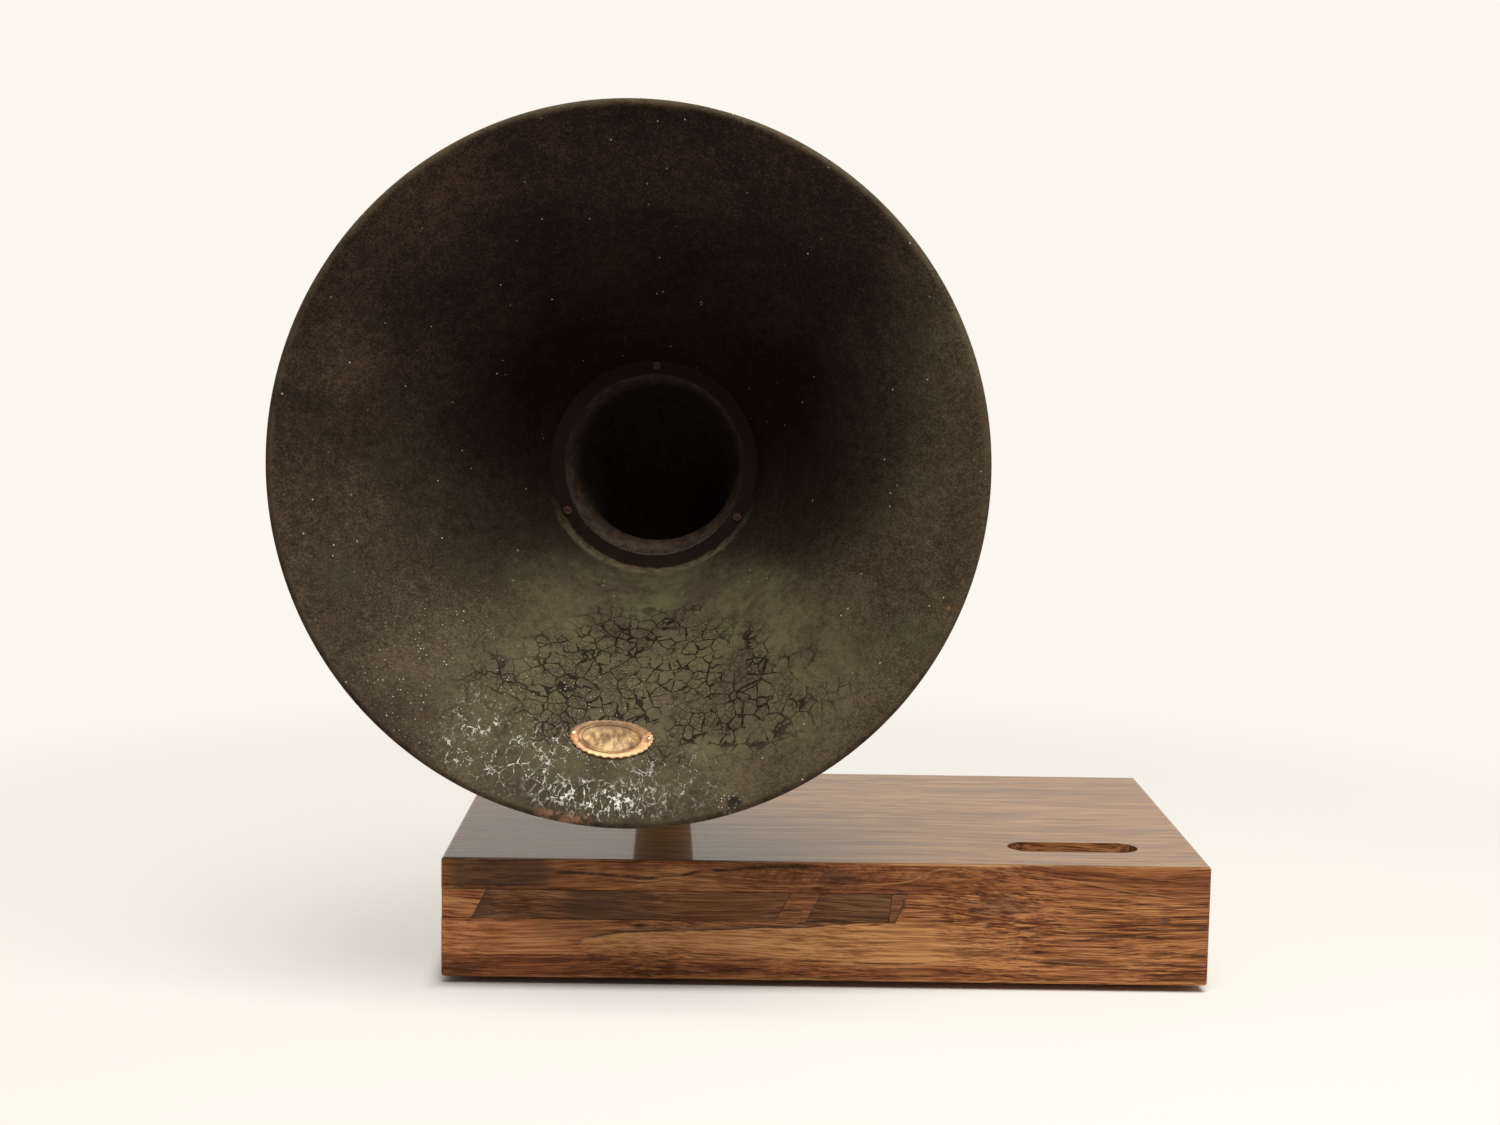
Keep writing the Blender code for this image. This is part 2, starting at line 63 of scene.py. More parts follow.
# Neck
NECK_BORE_R = 0.0125
NECK_WALL = 0.003
NECK_BEND_TOP = 0.066
NECK_BEND_FOOT = 0.105
FLANGE_R = 0.059
FLANGE_T = 0.005
COLLAR_R = 0.0205
COLLAR_LOW = 0.0021
COLLAR_HIGH = 0.0081
SPIGOT_R = 0.015
SPIGOT_LOW = -0.0239
CLEAR = 0.0003
FILLET = 0.0012

# Bell
BELL_T = 0.001
BELL_DEPTH = 0.138
MOUTH_R = 0.1785
THROAT_R = 0.0575
BORE_R = 0.0495
START_ANGLE = math.radians(22)
END_ANGLE = math.radians(63)
START_PULL = 0.07
END_PULL = 0.06
CURL_R = 0.0021
CURL_ANGLE = math.radians(285)
SHEET_EDGE = 0.0006
DIMPLE_AT = Vector((0.003, -0.078))
DIMPLE_R = 0.0045
DIMPLE_DEEP = 0.0004
WAVES_PER_M = 14
WAVE_DEEP = 0.00025

# Plate on the bell and its pins. Plain factors are shares of the plate's or a pin head's own size.
BADGE_ANGLE = math.radians(-93)
BADGE_AT = 0.752
BADGE_W = 0.0425
BADGE_H = 0.0215
BADGE_T = 0.0009
BADGE_LIFT = 0.0006
BADGE_RIDGE = 0.0004
BADGE_LOBES = 34
LOBE_DEEP = 0.00028
LOBED_FROM = 0.95
BEATS_PER_M = 420
BEAT_DEEP = 0.00016
BEATEN_TO = 0.7
BADGE_CROWN = 1.1
PIN_AT = 0.91
PIN_SEAT = 0.9
PIN_TIP = 1.02
PIN_HEAD_R = 0.0013
PIN_HEAD_H = 0.0009

# Edges sharper than this are shaded as edges
SHARP = math.radians(40)

pivot = Matrix.Translation(SWIVEL_AT) @ Matrix.Rotation(-NECK_TURN, 4, "Z")
lean = Matrix.Rotation(math.pi / 2 - BELL_TILT, 4, "X")
bell_frame = pivot @ Matrix.Translation((0, -NECK_REACH, NECK_RISE)) @ lean


# Nodes of materials and of the world


class Nodes:
    """A node tree, with one short call for each kind of node."""

    def __init__(self, tree):
        self.tree = tree

    def feed(self, target, value):
        if isinstance(value, bpy.types.NodeSocket):
            self.tree.links.new(value, target)
        else:
            target.default_value = value

    def add(self, kind, *values, inputs=None, **settings):
        """A new node, with its first inputs fed in order and others by name."""
        node = self.tree.nodes.new(kind)
        for key, setting in settings.items():
            setattr(node, key, setting)
        for target, value in zip(node.inputs, values):
            self.feed(target, value)
        for key, value in (inputs or {}).items():
            self.feed(node.inputs[key], value)
        return node

    def split(self, vector):
        return tuple(self.add("ShaderNodeSeparateXYZ", vector).outputs)

    def joined(self, x, y, z):
        return self.add("ShaderNodeCombineXYZ", x, y, z).outputs["Vector"]

    def math(self, operation, *values):
        return self.add("ShaderNodeMath", *values, operation=operation).outputs["Value"]

    def times(self, *values):
        total = values[0]
        for value in values[1:]:
            total = self.math("MULTIPLY", total, value)
        return total

    def minus(self, a, b):
        return self.math("SUBTRACT", a, b)

    def largest(self, a, b):
        return self.math("MAXIMUM", a, b)

    def plus(self, total, value, weight):
        """A total and a value times its weight."""
        return self.math("MULTIPLY_ADD", value, weight, total)

    def weighed(self, *parts):
        """Sum of values, each times its weight."""
        total = 0.0
        for value, weight in parts:
            total = self.plus(total, value, weight)
        return total

    def length(self, a, b):
        return self.math("SQRT", self.math("ADD", self.times(a, a), self.times(b, b)))

    def span(self, value, low, high, start=0.0, end=1.0):
        """A smooth step from start at low to end at high."""
        given = (value, low, high, start, end)
        return self.add("ShaderNodeMapRange", *given, interpolation_type="SMOOTHSTEP").outputs["Result"]

    def band(self, value, low, high, soft):
        """One between low and high, with soft ends."""
        rise = self.span(value, low - soft, low + soft)
        fall = self.span(value, high + soft, high - soft)
        return self.times(rise, fall)

    def near(self, where, centre, radius, soft):
        """One within a radius of a point, falling off over a soft edge."""
        away = self.add("ShaderNodeVectorMath", where, centre, operation="DISTANCE").outputs["Value"]
        return self.span(away, radius + soft, radius)

    def ramp(self, value, stops, colours):
        """Colours that follow each other as a value passes the stops."""
        node = self.add("ShaderNodeValToRGB", value)
        elements = node.color_ramp.elements
        while len(elements) < len(stops):
            elements.new(0.5)
        for element, at, colour in zip(elements, stops, colours):
            element.position = at
            element.color = (*colour, 1.0)
        return node.outputs["Color"]

    def mix(self, share, a, b):
        """One colour over another by a share."""
        node = self.add("ShaderNodeMix", share, data_type="RGBA")
        for target, value in ((node.inputs[6], a), (node.inputs[7], b)):
            self.feed(target, (*value, 1.0) if isinstance(value, tuple) else value)
        return node.outputs[2]

    def lay(self, colour, tint, *shares):
        """A colour with a tint over it, by the product of some shares."""
        return self.mix(self.times(*shares), colour, tint)

    def blend(self, share, a, b):
        """One shader shown through another."""
        return self.add("ShaderNodeMixShader", share, a, b).outputs["Shader"]


class Paint(Nodes):
    """A material. Its patterns lie in object coordinates unless a call says where."""

    def __init__(self, name, roughness, **values):
        self.material = bpy.data.materials.new(name)
        self.material.use_nodes = True
        super().__init__(self.material.node_tree)
        self.surface = self.tree.nodes["Principled BSDF"]
        self.where = self.add("ShaderNodeTexCoord").outputs["Object"]
        self.set("Roughness", roughness)
        for key, value in values.items():
            self.set(key.replace("_", " "), value)

    def set(self, socket, value):
        self.feed(self.surface.inputs[socket], value)

    def moved(self, matrix):
        """Object coordinates seen from a frame with this place and turn."""
        turn = matrix.to_euler()
        place = matrix.to_translation()
        return self.add("ShaderNodeMapping", self.where, place, turn, vector_type="TEXTURE").outputs["Vector"]

    def stretched(self, scale, where=None, shift=(0, 0, 0)):
        turn = (0, 0, 0)
        return self.add("ShaderNodeMapping", where or self.where, shift, turn, scale).outputs["Vector"]

    def shifted(self, shift, where=None):
        return self.stretched((1, 1, 1), where, shift)

    def noise(self, scale, where=None, detail=3.0, rough=0.55, colour=False):
        inputs = {"Scale": scale, "Detail": detail, "Roughness": rough}
        node = self.add("ShaderNodeTexNoise", where or self.where, inputs=inputs)
        return node.outputs["Color" if colour else "Fac"]

    def cells(self, scale, where=None, feature="DISTANCE_TO_EDGE", output="Distance"):
        inputs = {"Scale": scale}
        node = self.add("ShaderNodeTexVoronoi", where or self.where, inputs=inputs, feature=feature)
        return node.outputs[output]

    def warped(self, where, scale, amount, detail=2.0):
        """Coordinates pushed about by noise, so that straight lines wander."""
        push = self.noise(scale, where, detail, colour=True)
        start = self.shifted([-amount / 2] * 3, where)
        node = self.add("ShaderNodeVectorMath", push, [amount] * 3, start, operation="MULTIPLY_ADD")
        return node.outputs["Vector"]

    def course(self, value, points, size):
        """How far down a smooth line through some points is, at each place along."""
        node = self.add("ShaderNodeFloatCurve", inputs={"Value": self.math("DIVIDE", value, size[0])})
        spots = [(along / size[0], down / size[1]) for along, down in points]
        stops = node.mapping.curves[0].points
        stops[0].location = spots[0]
        stops[1].location = spots[-1]
        for spot in spots[1:-1]:
            stops.new(*spot)
        node.mapping.extend = "HORIZONTAL"
        node.mapping.update()
        return self.times(node.outputs["Value"], size[1])

    def facing(self):
        """Direction of the surface, as X, Y and Z."""
        return self.split(self.add("ShaderNodeNewGeometry").outputs["Normal"])

    def bump(self, height, distance, strength=1.0, under=None):
        inputs = {"Height": height, "Distance": distance, "Strength": strength}
        if under:
            inputs["Normal"] = under
        return self.add("ShaderNodeBump", inputs=inputs).outputs["Normal"]

    def done(self, colour, normal, roughness=None):
        """Sets what the surface shows and hands the material back."""
        self.set("Base Color", colour)
        self.set("Normal", normal)
        if roughness is not None:
            self.set("Roughness", roughness)
        return self.material


# Paint of the horn. Tones run from dark to light, and lengths are in the bell's frame.
PAINT_STOPS = (0.4, 0.5, 0.61)
# Dark tones hold painted shade where the paint faces down; light tones hold dust and painted light where it
# faces up and on the bell's right side
SHADED_PAINT_TONES = ((0.008, 0.004, 0.003), (0.023, 0.012, 0.008), (0.064, 0.036, 0.023))
DUSTY_LIT_TONES = ((0.034, 0.024, 0.014), (0.068, 0.05, 0.03), (0.128, 0.1, 0.064))
TWO_STOPS = (0.35, 0.65)
POWDER_STOPS = (0.42, 0.6)
POWDER_TONES = ((0.112, 0.086, 0.056), (0.124, 0.106, 0.058))
NECK_STOPS = (0.34, 0.5, 0.68)
NECK_TONES = ((0.02, 0.011, 0.008), (0.048, 0.026, 0.017), (0.095, 0.056, 0.035))
BORE_SHADE_TONES = ((0.006, 0.004, 0.003), (0.022, 0.014, 0.01))
MOUTH_TONES = ((0.03, 0.019, 0.013), (0.12, 0.08, 0.055))
GREEN_TINT = (0.066, 0.062, 0.038)
RUST_TINT = (0.056, 0.03, 0.02)
SPECK_TINT = (0.5, 0.45, 0.37)
DEEP_SHADE_TINT = (0.005, 0.003, 0.002)
FLANGE_SHADE_TINT = (0.013, 0.007, 0.0045)
CRACK_TINT = (0.013, 0.0075, 0.0045)
FLAKE_GLINT_TINT = (0.82, 0.79, 0.72)
RIM_CHIP_TINT = (0.02, 0.016, 0.012)
CHIP_BITS_TINT = (0.66, 0.64, 0.59)
RUST_SPOT_TINT = (0.3, 0.13, 0.05)
WORN_RIM_TINT = (0.082, 0.057, 0.034)
BARE_RIM_TINT = (0.27, 0.14, 0.088)
CORNER_DUST_AND_HIGHLIGHT_TINT = (0.19, 0.145, 0.088)
BORE_EDGE_HIGHLIGHT_TINT = (0.2, 0.165, 0.12)
BACK_RING_TINT = (0.02, 0.014, 0.01)
BACK_RIM_TINT = (0.13, 0.08, 0.042)
NECK_CHIP_TINT = (0.15, 0.075, 0.038)
NECK_DUST_TINT = (0.11, 0.088, 0.06)
CRACKS_AT = (0.011, -0.112)
CRACKS_SIZE = (0.104, 0.041)
RIM_CHIP_AT = (0.057, -0.1642, 0.1372)
CHIP_BITS_AT = (0.0552, -0.166, 0.1355)
RUST_SPOT_AT = (0.16, -0.066, 0.135)
DIMPLE_SPOT = (*DIMPLE_AT, 0.043)

# Stains round the dimple under the throat: place, radius, soft edge, strength and tint
DIMPLE_STAINS = (
    (DIMPLE_SPOT, 0.004, 0.014, 0.3, (0.125, 0.125, 0.07)),
    ((0.013, -0.07, 0.04), 0.002, 0.01, 0.45, (0.15, 0.15, 0.07)),
    (DIMPLE_SPOT, 0.005, 0.002, 0.6, (0.128, 0.11, 0.06)),
    (DIMPLE_SPOT, 0.003, 0.0015, 0.75, (0.062, 0.044, 0.026)),
)


def paint_tones(p, here):
    """Grained old paint: near black where it faces down, as painted shade, and olive grey with dust and
    painted light where it faces up and on the bell's right side.
    """
    cloud = p.noise(16, here, 4.0, 0.6)
    mottle = p.noise(210, here, 5.0, 0.7)
    grain = p.noise(900, here, 2.0, 0.6)
    tone = p.weighed((cloud, 0.32), (grain, 0.4), (mottle, 0.28))
    shaded_paint = p.ramp(tone, PAINT_STOPS, SHADED_PAINT_TONES)
    dusty_lit = p.ramp(tone, PAINT_STOPS, DUSTY_LIT_TONES)
    # Dust lies on upward faces, and painted light lightens them and the bell's right side; faces turned down
    # keep the painted shade of the dark tones
    dust_and_light = p.span(p.facing()[2], -0.5, 0.85)
    dust_and_light = p.plus(dust_and_light, p.span(p.split(here)[0], 0.115, 0.165), 0.75)
    colour = p.mix(dust_and_light, shaded_paint, dusty_lit)
    green = p.span(p.noise(28, p.shifted((0.3, 0.1, 0.7), here)), 0.52, 0.72, 0.0, 0.4)
    colour = p.lay(colour, GREEN_TINT, green, dust_and_light)
    rust = p.span(p.noise(60, p.shifted((1.7, 0.4, 0.2), here), 5.0, 0.75), 0.56, 0.74, 0.0, 0.35)
    return p.mix(rust, colour, RUST_TINT), mottle, grain


def dots(p, here, scale, edge, chance, channel=1):
    """Round dots, of which chance leaves only some."""
    size = p.span(p.cells(scale, here, "F1"), *edge)
    drawn = p.split(p.cells(scale, here, "F1", "Color"))[channel]
    return p.times(size, p.span(drawn, *chance))


def specks(p, here, colour):
    """Scattered pin-head chips in the paint."""
    return p.lay(colour, SPECK_TINT, dots(p, here, 300, (0.16, 0.08), (0.955, 0.965), 0))


def crackle(p, here, x, y):
    """Net of dark cracks, broken where the paint still holds."""
    wander = p.warped(here, 210, 0.0032)
    coarse = p.cells(132, wander)
    fine = p.cells(285, wander)
    hold = p.noise(70, here)
    width = p.span(p.noise(170, here), 0.4, 0.66, 0.034, 0.098)
    open_at = p.times(p.span(p.math("DIVIDE", coarse, width), 1.0, 0.35), p.span(hold, 0.37, 0.46))
    parts = p.noise(48, p.shifted((2, 5, 1), here))
    thin = p.times(p.span(fine, 0.075, 0.025), p.span(parts, 0.43, 0.53))
    off_x = p.math("DIVIDE", p.minus(x, CRACKS_AT[0]), CRACKS_SIZE[0])
    off_y = p.math("DIVIDE", p.minus(y, CRACKS_AT[1]), CRACKS_SIZE[1])
    away = p.plus(p.length(off_x, off_y), p.noise(45, here), 0.9)
    return p.times(p.span(away, 1.55, 1.05), p.largest(open_at, p.times(thin, 0.55)))


def flakes_and_glints(p, here, angle, radius):
    """Pale broken net where the paint lifts: painted highlights on its edges, with painted glints along its
    threads.
    """
    around = p.times(angle, 0.165)
    points = p.span(p.noise(430, here, 2.0), 0.46, 0.62)

    # Dense threads of painted highlight at the bottom, some of them radial
    radial = p.warped(p.joined(around, p.times(radius, 0.62), 0.0), 280, 0.006)
    comb = p.span(p.math("DIVIDE", p.cells(215, radial), p.span(points, 0.0, 1.0, 0.038, 0.145)), 1.0, 0.45)
    ragged = p.plus(radius, p.noise(150, here), 0.016)
    comb = p.times(comb, p.band(angle, -1.8, -1.46, 0.11), p.band(ragged, 0.1675, 0.1785, 0.0045))
    comb = p.times(comb, p.span(p.noise(140, here), 0.34, 0.46), p.span(points, 0.0, 0.7, 0.65, 1.0))

    # Wider, fainter webs of painted highlight on both sides
    net = p.cells(165, p.warped(p.joined(around, radius, 0.0), 240, 0.0045))
    web = p.span(p.math("DIVIDE", net, p.span(points, 0.0, 1.0, 0.026, 0.062)), 1.0, 0.45)
    web = p.times(web, p.span(p.noise(110, here, 4.0, 0.7), 0.44, 0.54), p.span(points, 0.0, 0.8, 0.4, 1.0))
    left = p.times(p.band(angle, -2.14, -1.74, 0.1), p.band(radius, 0.139, 0.17, 0.008))
    right = p.times(p.band(angle, -1.66, -1.28, 0.07), p.band(radius, 0.146, 0.168, 0.006), 0.5)
    web = p.times(web, p.largest(left, right), 0.9)

    # Painted glints without threads
    loose = dots(p, here, 620, (0.27, 0.14), (0.72, 0.78))
    where = p.times(p.band(angle, -2.5, -1.4, 0.25), p.band(radius, 0.112, 0.169, 0.02))
    loose = p.times(loose, where, p.span(p.noise(60, here), 0.4, 0.58))
    return p.largest(p.largest(comb, web), p.times(loose, 0.85))


def bell_inside_paint():
    """Old paint inside the bell, with painted shade towards the throat and on its flange, dust, cracks,
    lifted paint with painted glints, chips, rust and painted highlights on the throat's edges.
    """
    p = Paint("crazed_bell_paint", 0.5, Specular_IOR_Level=0.05)
    here = p.moved(bell_frame)
    x, y = p.split(here)[:2]
    radius = p.length(x, y)
    angle = p.math("ARCTAN2", y, x)
    colour, mottle, grain = paint_tones(p, here)

    # Painted shade deepens towards the throat above the bottom, and dust lies along the bottom
    deep_shade = p.times(p.span(radius, 0.165, 0.085), p.span(y, -0.1, -0.03))
    colour = p.lay(colour, DEEP_SHADE_TINT, deep_shade, 0.64)
    sideways = p.plus(p.math("ABSOLUTE", p.minus(x, 0.02)), y, 0.45)
    lying = p.times(p.span(radius, 0.186, 0.14), p.span(sideways, 0.08, 0.01))
    lying = p.times(lying, p.span(y, -0.042, -0.062), p.span(mottle, 0.3, 0.62, 0.3, 0.7))
    blotch = p.noise(46, here, 4.0, 0.65)
    lying = p.times(lying, p.span(blotch, 0.38, 0.58, 0.6, 1.25))
    colour = p.lay(colour, p.ramp(blotch, POWDER_STOPS, POWDER_TONES), lying)
    # Painted shade on the flat flange round the throat
    colour = p.lay(colour, FLANGE_SHADE_TINT, p.span(radius, 0.058, 0.057, 0.0, 0.85))

    for centre, reach, soft, strength, tint in DIMPLE_STAINS:
        colour = p.lay(colour, tint, p.near(here, centre, reach, soft), strength)
    crack = crackle(p, here, x, y)
    colour = p.lay(colour, CRACK_TINT, crack, 0.95)
    # Lifted paint, made pale by painted highlights and glints where its edges catch the light
    flake_and_glint = flakes_and_glints(p, here, angle, radius)
    colour = p.lay(colour, FLAKE_GLINT_TINT, flake_and_glint)

    # Chip and rust at the rim
    ragged = p.warped(here, 420, 0.0035)
    colour = p.lay(colour, RIM_CHIP_TINT, p.near(ragged, RIM_CHIP_AT, 0.0026, 0.0018))
    bits = dots(p, here, 760, (0.26, 0.16), (0.62, 0.7))
    colour = p.lay(colour, CHIP_BITS_TINT, p.near(here, CHIP_BITS_AT, 0.006, 0.003), bits)
    colour = p.lay(colour, RUST_SPOT_TINT, p.near(here, RUST_SPOT_AT, 0.0008, 0.0018))
    worn = p.times(p.span(radius, 0.1735, 0.1755), p.span(p.noise(60, here, 4.0, 0.7), 0.38, 0.62))
    colour = p.lay(colour, WORN_RIM_TINT, worn, 0.55)
    bare = p.times(p.span(radius, 0.1722, 0.1742), p.band(angle, -1.8, -1.66, 0.03))
    colour = p.lay(colour, BARE_RIM_TINT, bare, p.span(mottle, 0.42, 0.58), 0.7)

    # Bare edges of the throat's flange, lighter on the lower side: dust and a painted highlight at the outer
    # corner, and a painted highlight on the inner edge
    lit_low_side = p.span(y, -0.015, -0.05)
    corner = p.times(p.band(radius, 0.0572, 0.06, 0.0009), lit_low_side, p.span(mottle, 0.36, 0.6, 0.2, 1.0))
    colour = p.lay(colour, CORNER_DUST_AND_HIGHLIGHT_TINT, corner, 0.8)
    edge = p.times(p.span(radius, 0.0503, 0.0497), lit_low_side, p.span(grain, 0.35, 0.6))
    colour = p.lay(colour, BORE_EDGE_HIGHLIGHT_TINT, edge, 0.8)

    rough = p.bump(p.plus(mottle, grain, 0.5), 0.00035, 0.7)
    normal = p.bump(p.minus(flake_and_glint, crack), 0.0005, 0.9, rough)
    return p.done(specks(p, here, colour), normal, p.plus(0.36, mottle, 0.35))


def bell_outside_paint():
    """Old paint on the bell's back, with faint turning marks and a worn rim."""
    p = Paint("worn_bell_back_paint", 0.5, Specular_IOR_Level=0.25)
    here = p.moved(bell_frame)
    colour, mottle, grain = paint_tones(p, here)
    z = p.split(here)[2]
    rings = p.noise(1.0, p.joined(0.0, 0.0, p.times(z, 900.0)), 2.0)
    colour = p.lay(colour, BACK_RING_TINT, p.span(rings, 0.5, 0.75, 0.0, 0.35))
    worn = p.times(p.span(z, 0.134, 0.137), p.span(p.noise(60, here, 4.0, 0.7), 0.42, 0.62))
    colour = p.lay(colour, BACK_RIM_TINT, worn, 0.8)
    normal = p.bump(p.plus(mottle, grain, 0.5), 0.00035, 0.7)
    return p.done(specks(p, here, colour), normal, p.plus(0.34, mottle, 0.35))


def neck_paint():
    """Clouded brown enamel with chips, and dust where it faces up."""
    p = Paint("brown_neck_enamel", 0.4, Specular_IOR_Level=0.4)
    cloud = p.noise(30, None, 4.0, 0.6)
    mottle = p.noise(180, None, 5.0, 0.7)
    colour = p.ramp(p.weighed((cloud, 0.5), (mottle, 0.5)), NECK_STOPS, NECK_TONES)
    chips = p.span(p.noise(110, p.shifted((4.0, 1.0, 2.0)), 6.0, 0.75), 0.63, 0.68)
    colour = p.lay(colour, NECK_CHIP_TINT, chips)
    colour = p.lay(colour, NECK_DUST_TINT, p.span(p.facing()[2], 0.2, 0.95), 0.45)
    normal = p.bump(p.minus(mottle, chips), 0.0003, 0.6)
    return p.done(specks(p, p.where, colour), normal, p.plus(0.22, mottle, 0.4))


def neck_bore_shade():
    """Bore of the neck, near black deep inside as painted shade, and paler near its mouth."""
    p = Paint("shaded_neck_bore", 0.7, Specular_IOR_Level=0.15)
    tone = p.noise(160, None, 5.0, 0.7)
    deep = p.ramp(tone, TWO_STOPS, BORE_SHADE_TONES)
    mouth = p.ramp(tone, TWO_STOPS, MOUTH_TONES)
    depth = p.split(p.moved(bell_frame))[2]
    # Painted shade: near black deep in the bore, paler towards its mouth
    colour = p.mix(p.span(depth, -0.03, -0.004), deep, mouth)
    return p.done(colour, p.bump(tone, 0.0003, 0.6))


def wood_figure(p, here, tones):
    """Colour, tone and pores of solid wood with its fibres along X."""
    x, y, z = p.split(p.warped(here, 7, 0.016, 0.0))

    # A strong slant along X keeps the noise's own grid from showing across the fibres
    slant = p.plus(p.plus(x, y, 11.0), z, 14.0)
    drift = p.joined(slant, y, z)
    streak = p.noise(1.0, p.stretched((3.2, 80, 80), drift), 4.0, 0.6)
    fibre = p.noise(1.0, p.stretched((11, 700, 700), drift), 4.0, 0.7)
    hair = p.noise(1.0, p.stretched((34, 1600, 1600), drift), 3.0, 0.7)
    tone = p.weighed((streak, 0.28), (fibre, 0.44), (hair, 0.28))
    colour = p.ramp(tone, FIBRE_STOPS, tones)
    glint = p.span(p.noise(1.0, p.stretched((46, 1150, 1150), drift, (2, 8, 4)), 2.0, 0.5), 0.6, 0.68)
    colour = p.lay(colour, tuple(1.15 * v for v in tones[-1]), glint, 0.55)
    pore = p.span(p.noise(1.0, p.stretched((50, 1150, 1150), drift, (5, 3, 1)), 2.0, 0.5), 0.575, 0.635)
    colour = p.lay(colour, tuple(0.5 * v for v in tones[0]), pore, 0.75)
    return colour, tone, pore


def wood_done(p, colour, tone, pore, deep=0.00022, strength=0.35):
    """A wood's material, with the pores sunk into its surface."""
    return p.done(colour, p.bump(p.minus(tone, pore), deep, strength))


def varnished(name):
    """Varnish that is rubbed to a gloss on top and left duller on the sides."""
    p = Paint(name, 0.45, Specular_IOR_Level=0.03, Coat_Roughness=0.07)
    p.set("Coat Weight", p.span(p.facing()[2], 0.5, 0.95, 0.08, 0.64))
    return p


# Woods, from dark to light
FIBRE_STOPS = (0.425, 0.495, 0.565)
WOOD_TONES = ((0.072, 0.025, 0.012), (0.245, 0.086, 0.033), (0.49, 0.228, 0.09))
BOARD_TONES = ((0.17, 0.095, 0.046), (0.31, 0.19, 0.098), (0.43, 0.29, 0.165))
LIGHT_INLAY = ((0.15, 0.051, 0.022), (0.42, 0.156, 0.063), (0.64, 0.32, 0.14))
DARK_INLAY = ((0.115, 0.05, 0.025), (0.25, 0.111, 0.052), (0.4, 0.195, 0.092))
DUSK_INLAY = ((0.062, 0.029, 0.015), (0.135, 0.061, 0.028), (0.215, 0.105, 0.05))
RUSSET_INLAY = ((0.08, 0.031, 0.014), (0.195, 0.074, 0.03), (0.345, 0.156, 0.066))
TOP_STOPS = (0.41, 0.5, 0.59)
TOP_TONES = ((0.12, 0.054, 0.019), (0.25, 0.12, 0.042), (0.42, 0.225, 0.086))
END_STOPS = (0.38, 0.5, 0.62)
END_TONES = ((0.07, 0.026, 0.012), (0.185, 0.07, 0.029), (0.33, 0.145, 0.06))
FIGURE_STOPS = (0.42, 0.5, 0.58)
GOLD_FIGURE = ((0.185, 0.076, 0.029), (0.42, 0.19, 0.072), (0.64, 0.345, 0.145))
DEEP_FIGURE = ((0.04, 0.019, 0.011), (0.086, 0.043, 0.026), (0.15, 0.078, 0.044))
RED_FIGURE = ((0.072, 0.023, 0.01), (0.18, 0.06, 0.023), (0.32, 0.12, 0.048))
WARM_FIGURE = ((0.17, 0.056, 0.023), (0.45, 0.16, 0.062), (0.7, 0.31, 0.135))
BLUSH_FIGURE = ((0.085, 0.034, 0.015), (0.185, 0.076, 0.031), (0.3, 0.14, 0.062))
DIM_TINT = (0.088, 0.046, 0.028)
DARK_MARK_TINT = (0.042, 0.017, 0.008)
PALE_MARK_TINT = (0.52, 0.275, 0.115)
WORN_EDGE_HIGHLIGHT_TINT = (0.58, 0.32, 0.17)
END_PORE_TINT = (0.02, 0.009, 0.005)
SPLIT_TINT = (0.016, 0.01, 0.008)

# Heart of the tree, as distances behind the block's front and above its top
HEART_AT = (0.15, -0.19)

# Let-in pieces: tones, place in the tree, and stretches of the block's length in m that are redder or darker
INLAYS = (
    (LIGHT_INLAY, (0.11, 0.05, 0.31), (), ()),
    (DARK_INLAY, (0.43, 0.22, 0.17), ((0.032, 0.044), (0.124, 0.195)), ((0.012, 0.027), (0.068, 0.112))),
    (RUSSET_INLAY, (0.75, 0.61, 0.09), (), ()),
    (DUSK_INLAY, (0.19, 0.84, 0.52), (), ()),
    (RUSSET_INLAY, (0.92, 0.37, 0.66), (), ((0.24, 0.244),)),
)

# What is on the block's front is placed in mm, along and down from its upper left corner
FRONT_SIZE = (406.0, 64.5)
MM = 1000.0

# Knots and smudges: centre, half axes and strength
KNOTS = (
    ((294, 23), (12, 4), 0.55),
    ((241.5, 21), (2.2, 4.5), 0.8),
    ((382, 29.5), (2.2, 1.3), 0.65),
    ((210, 7), (6, 2), 0.6),
    ((352, 38.5), (8, 1.2), 0.6),
    ((332, 52.5), (14, 1.4), 0.6),
)

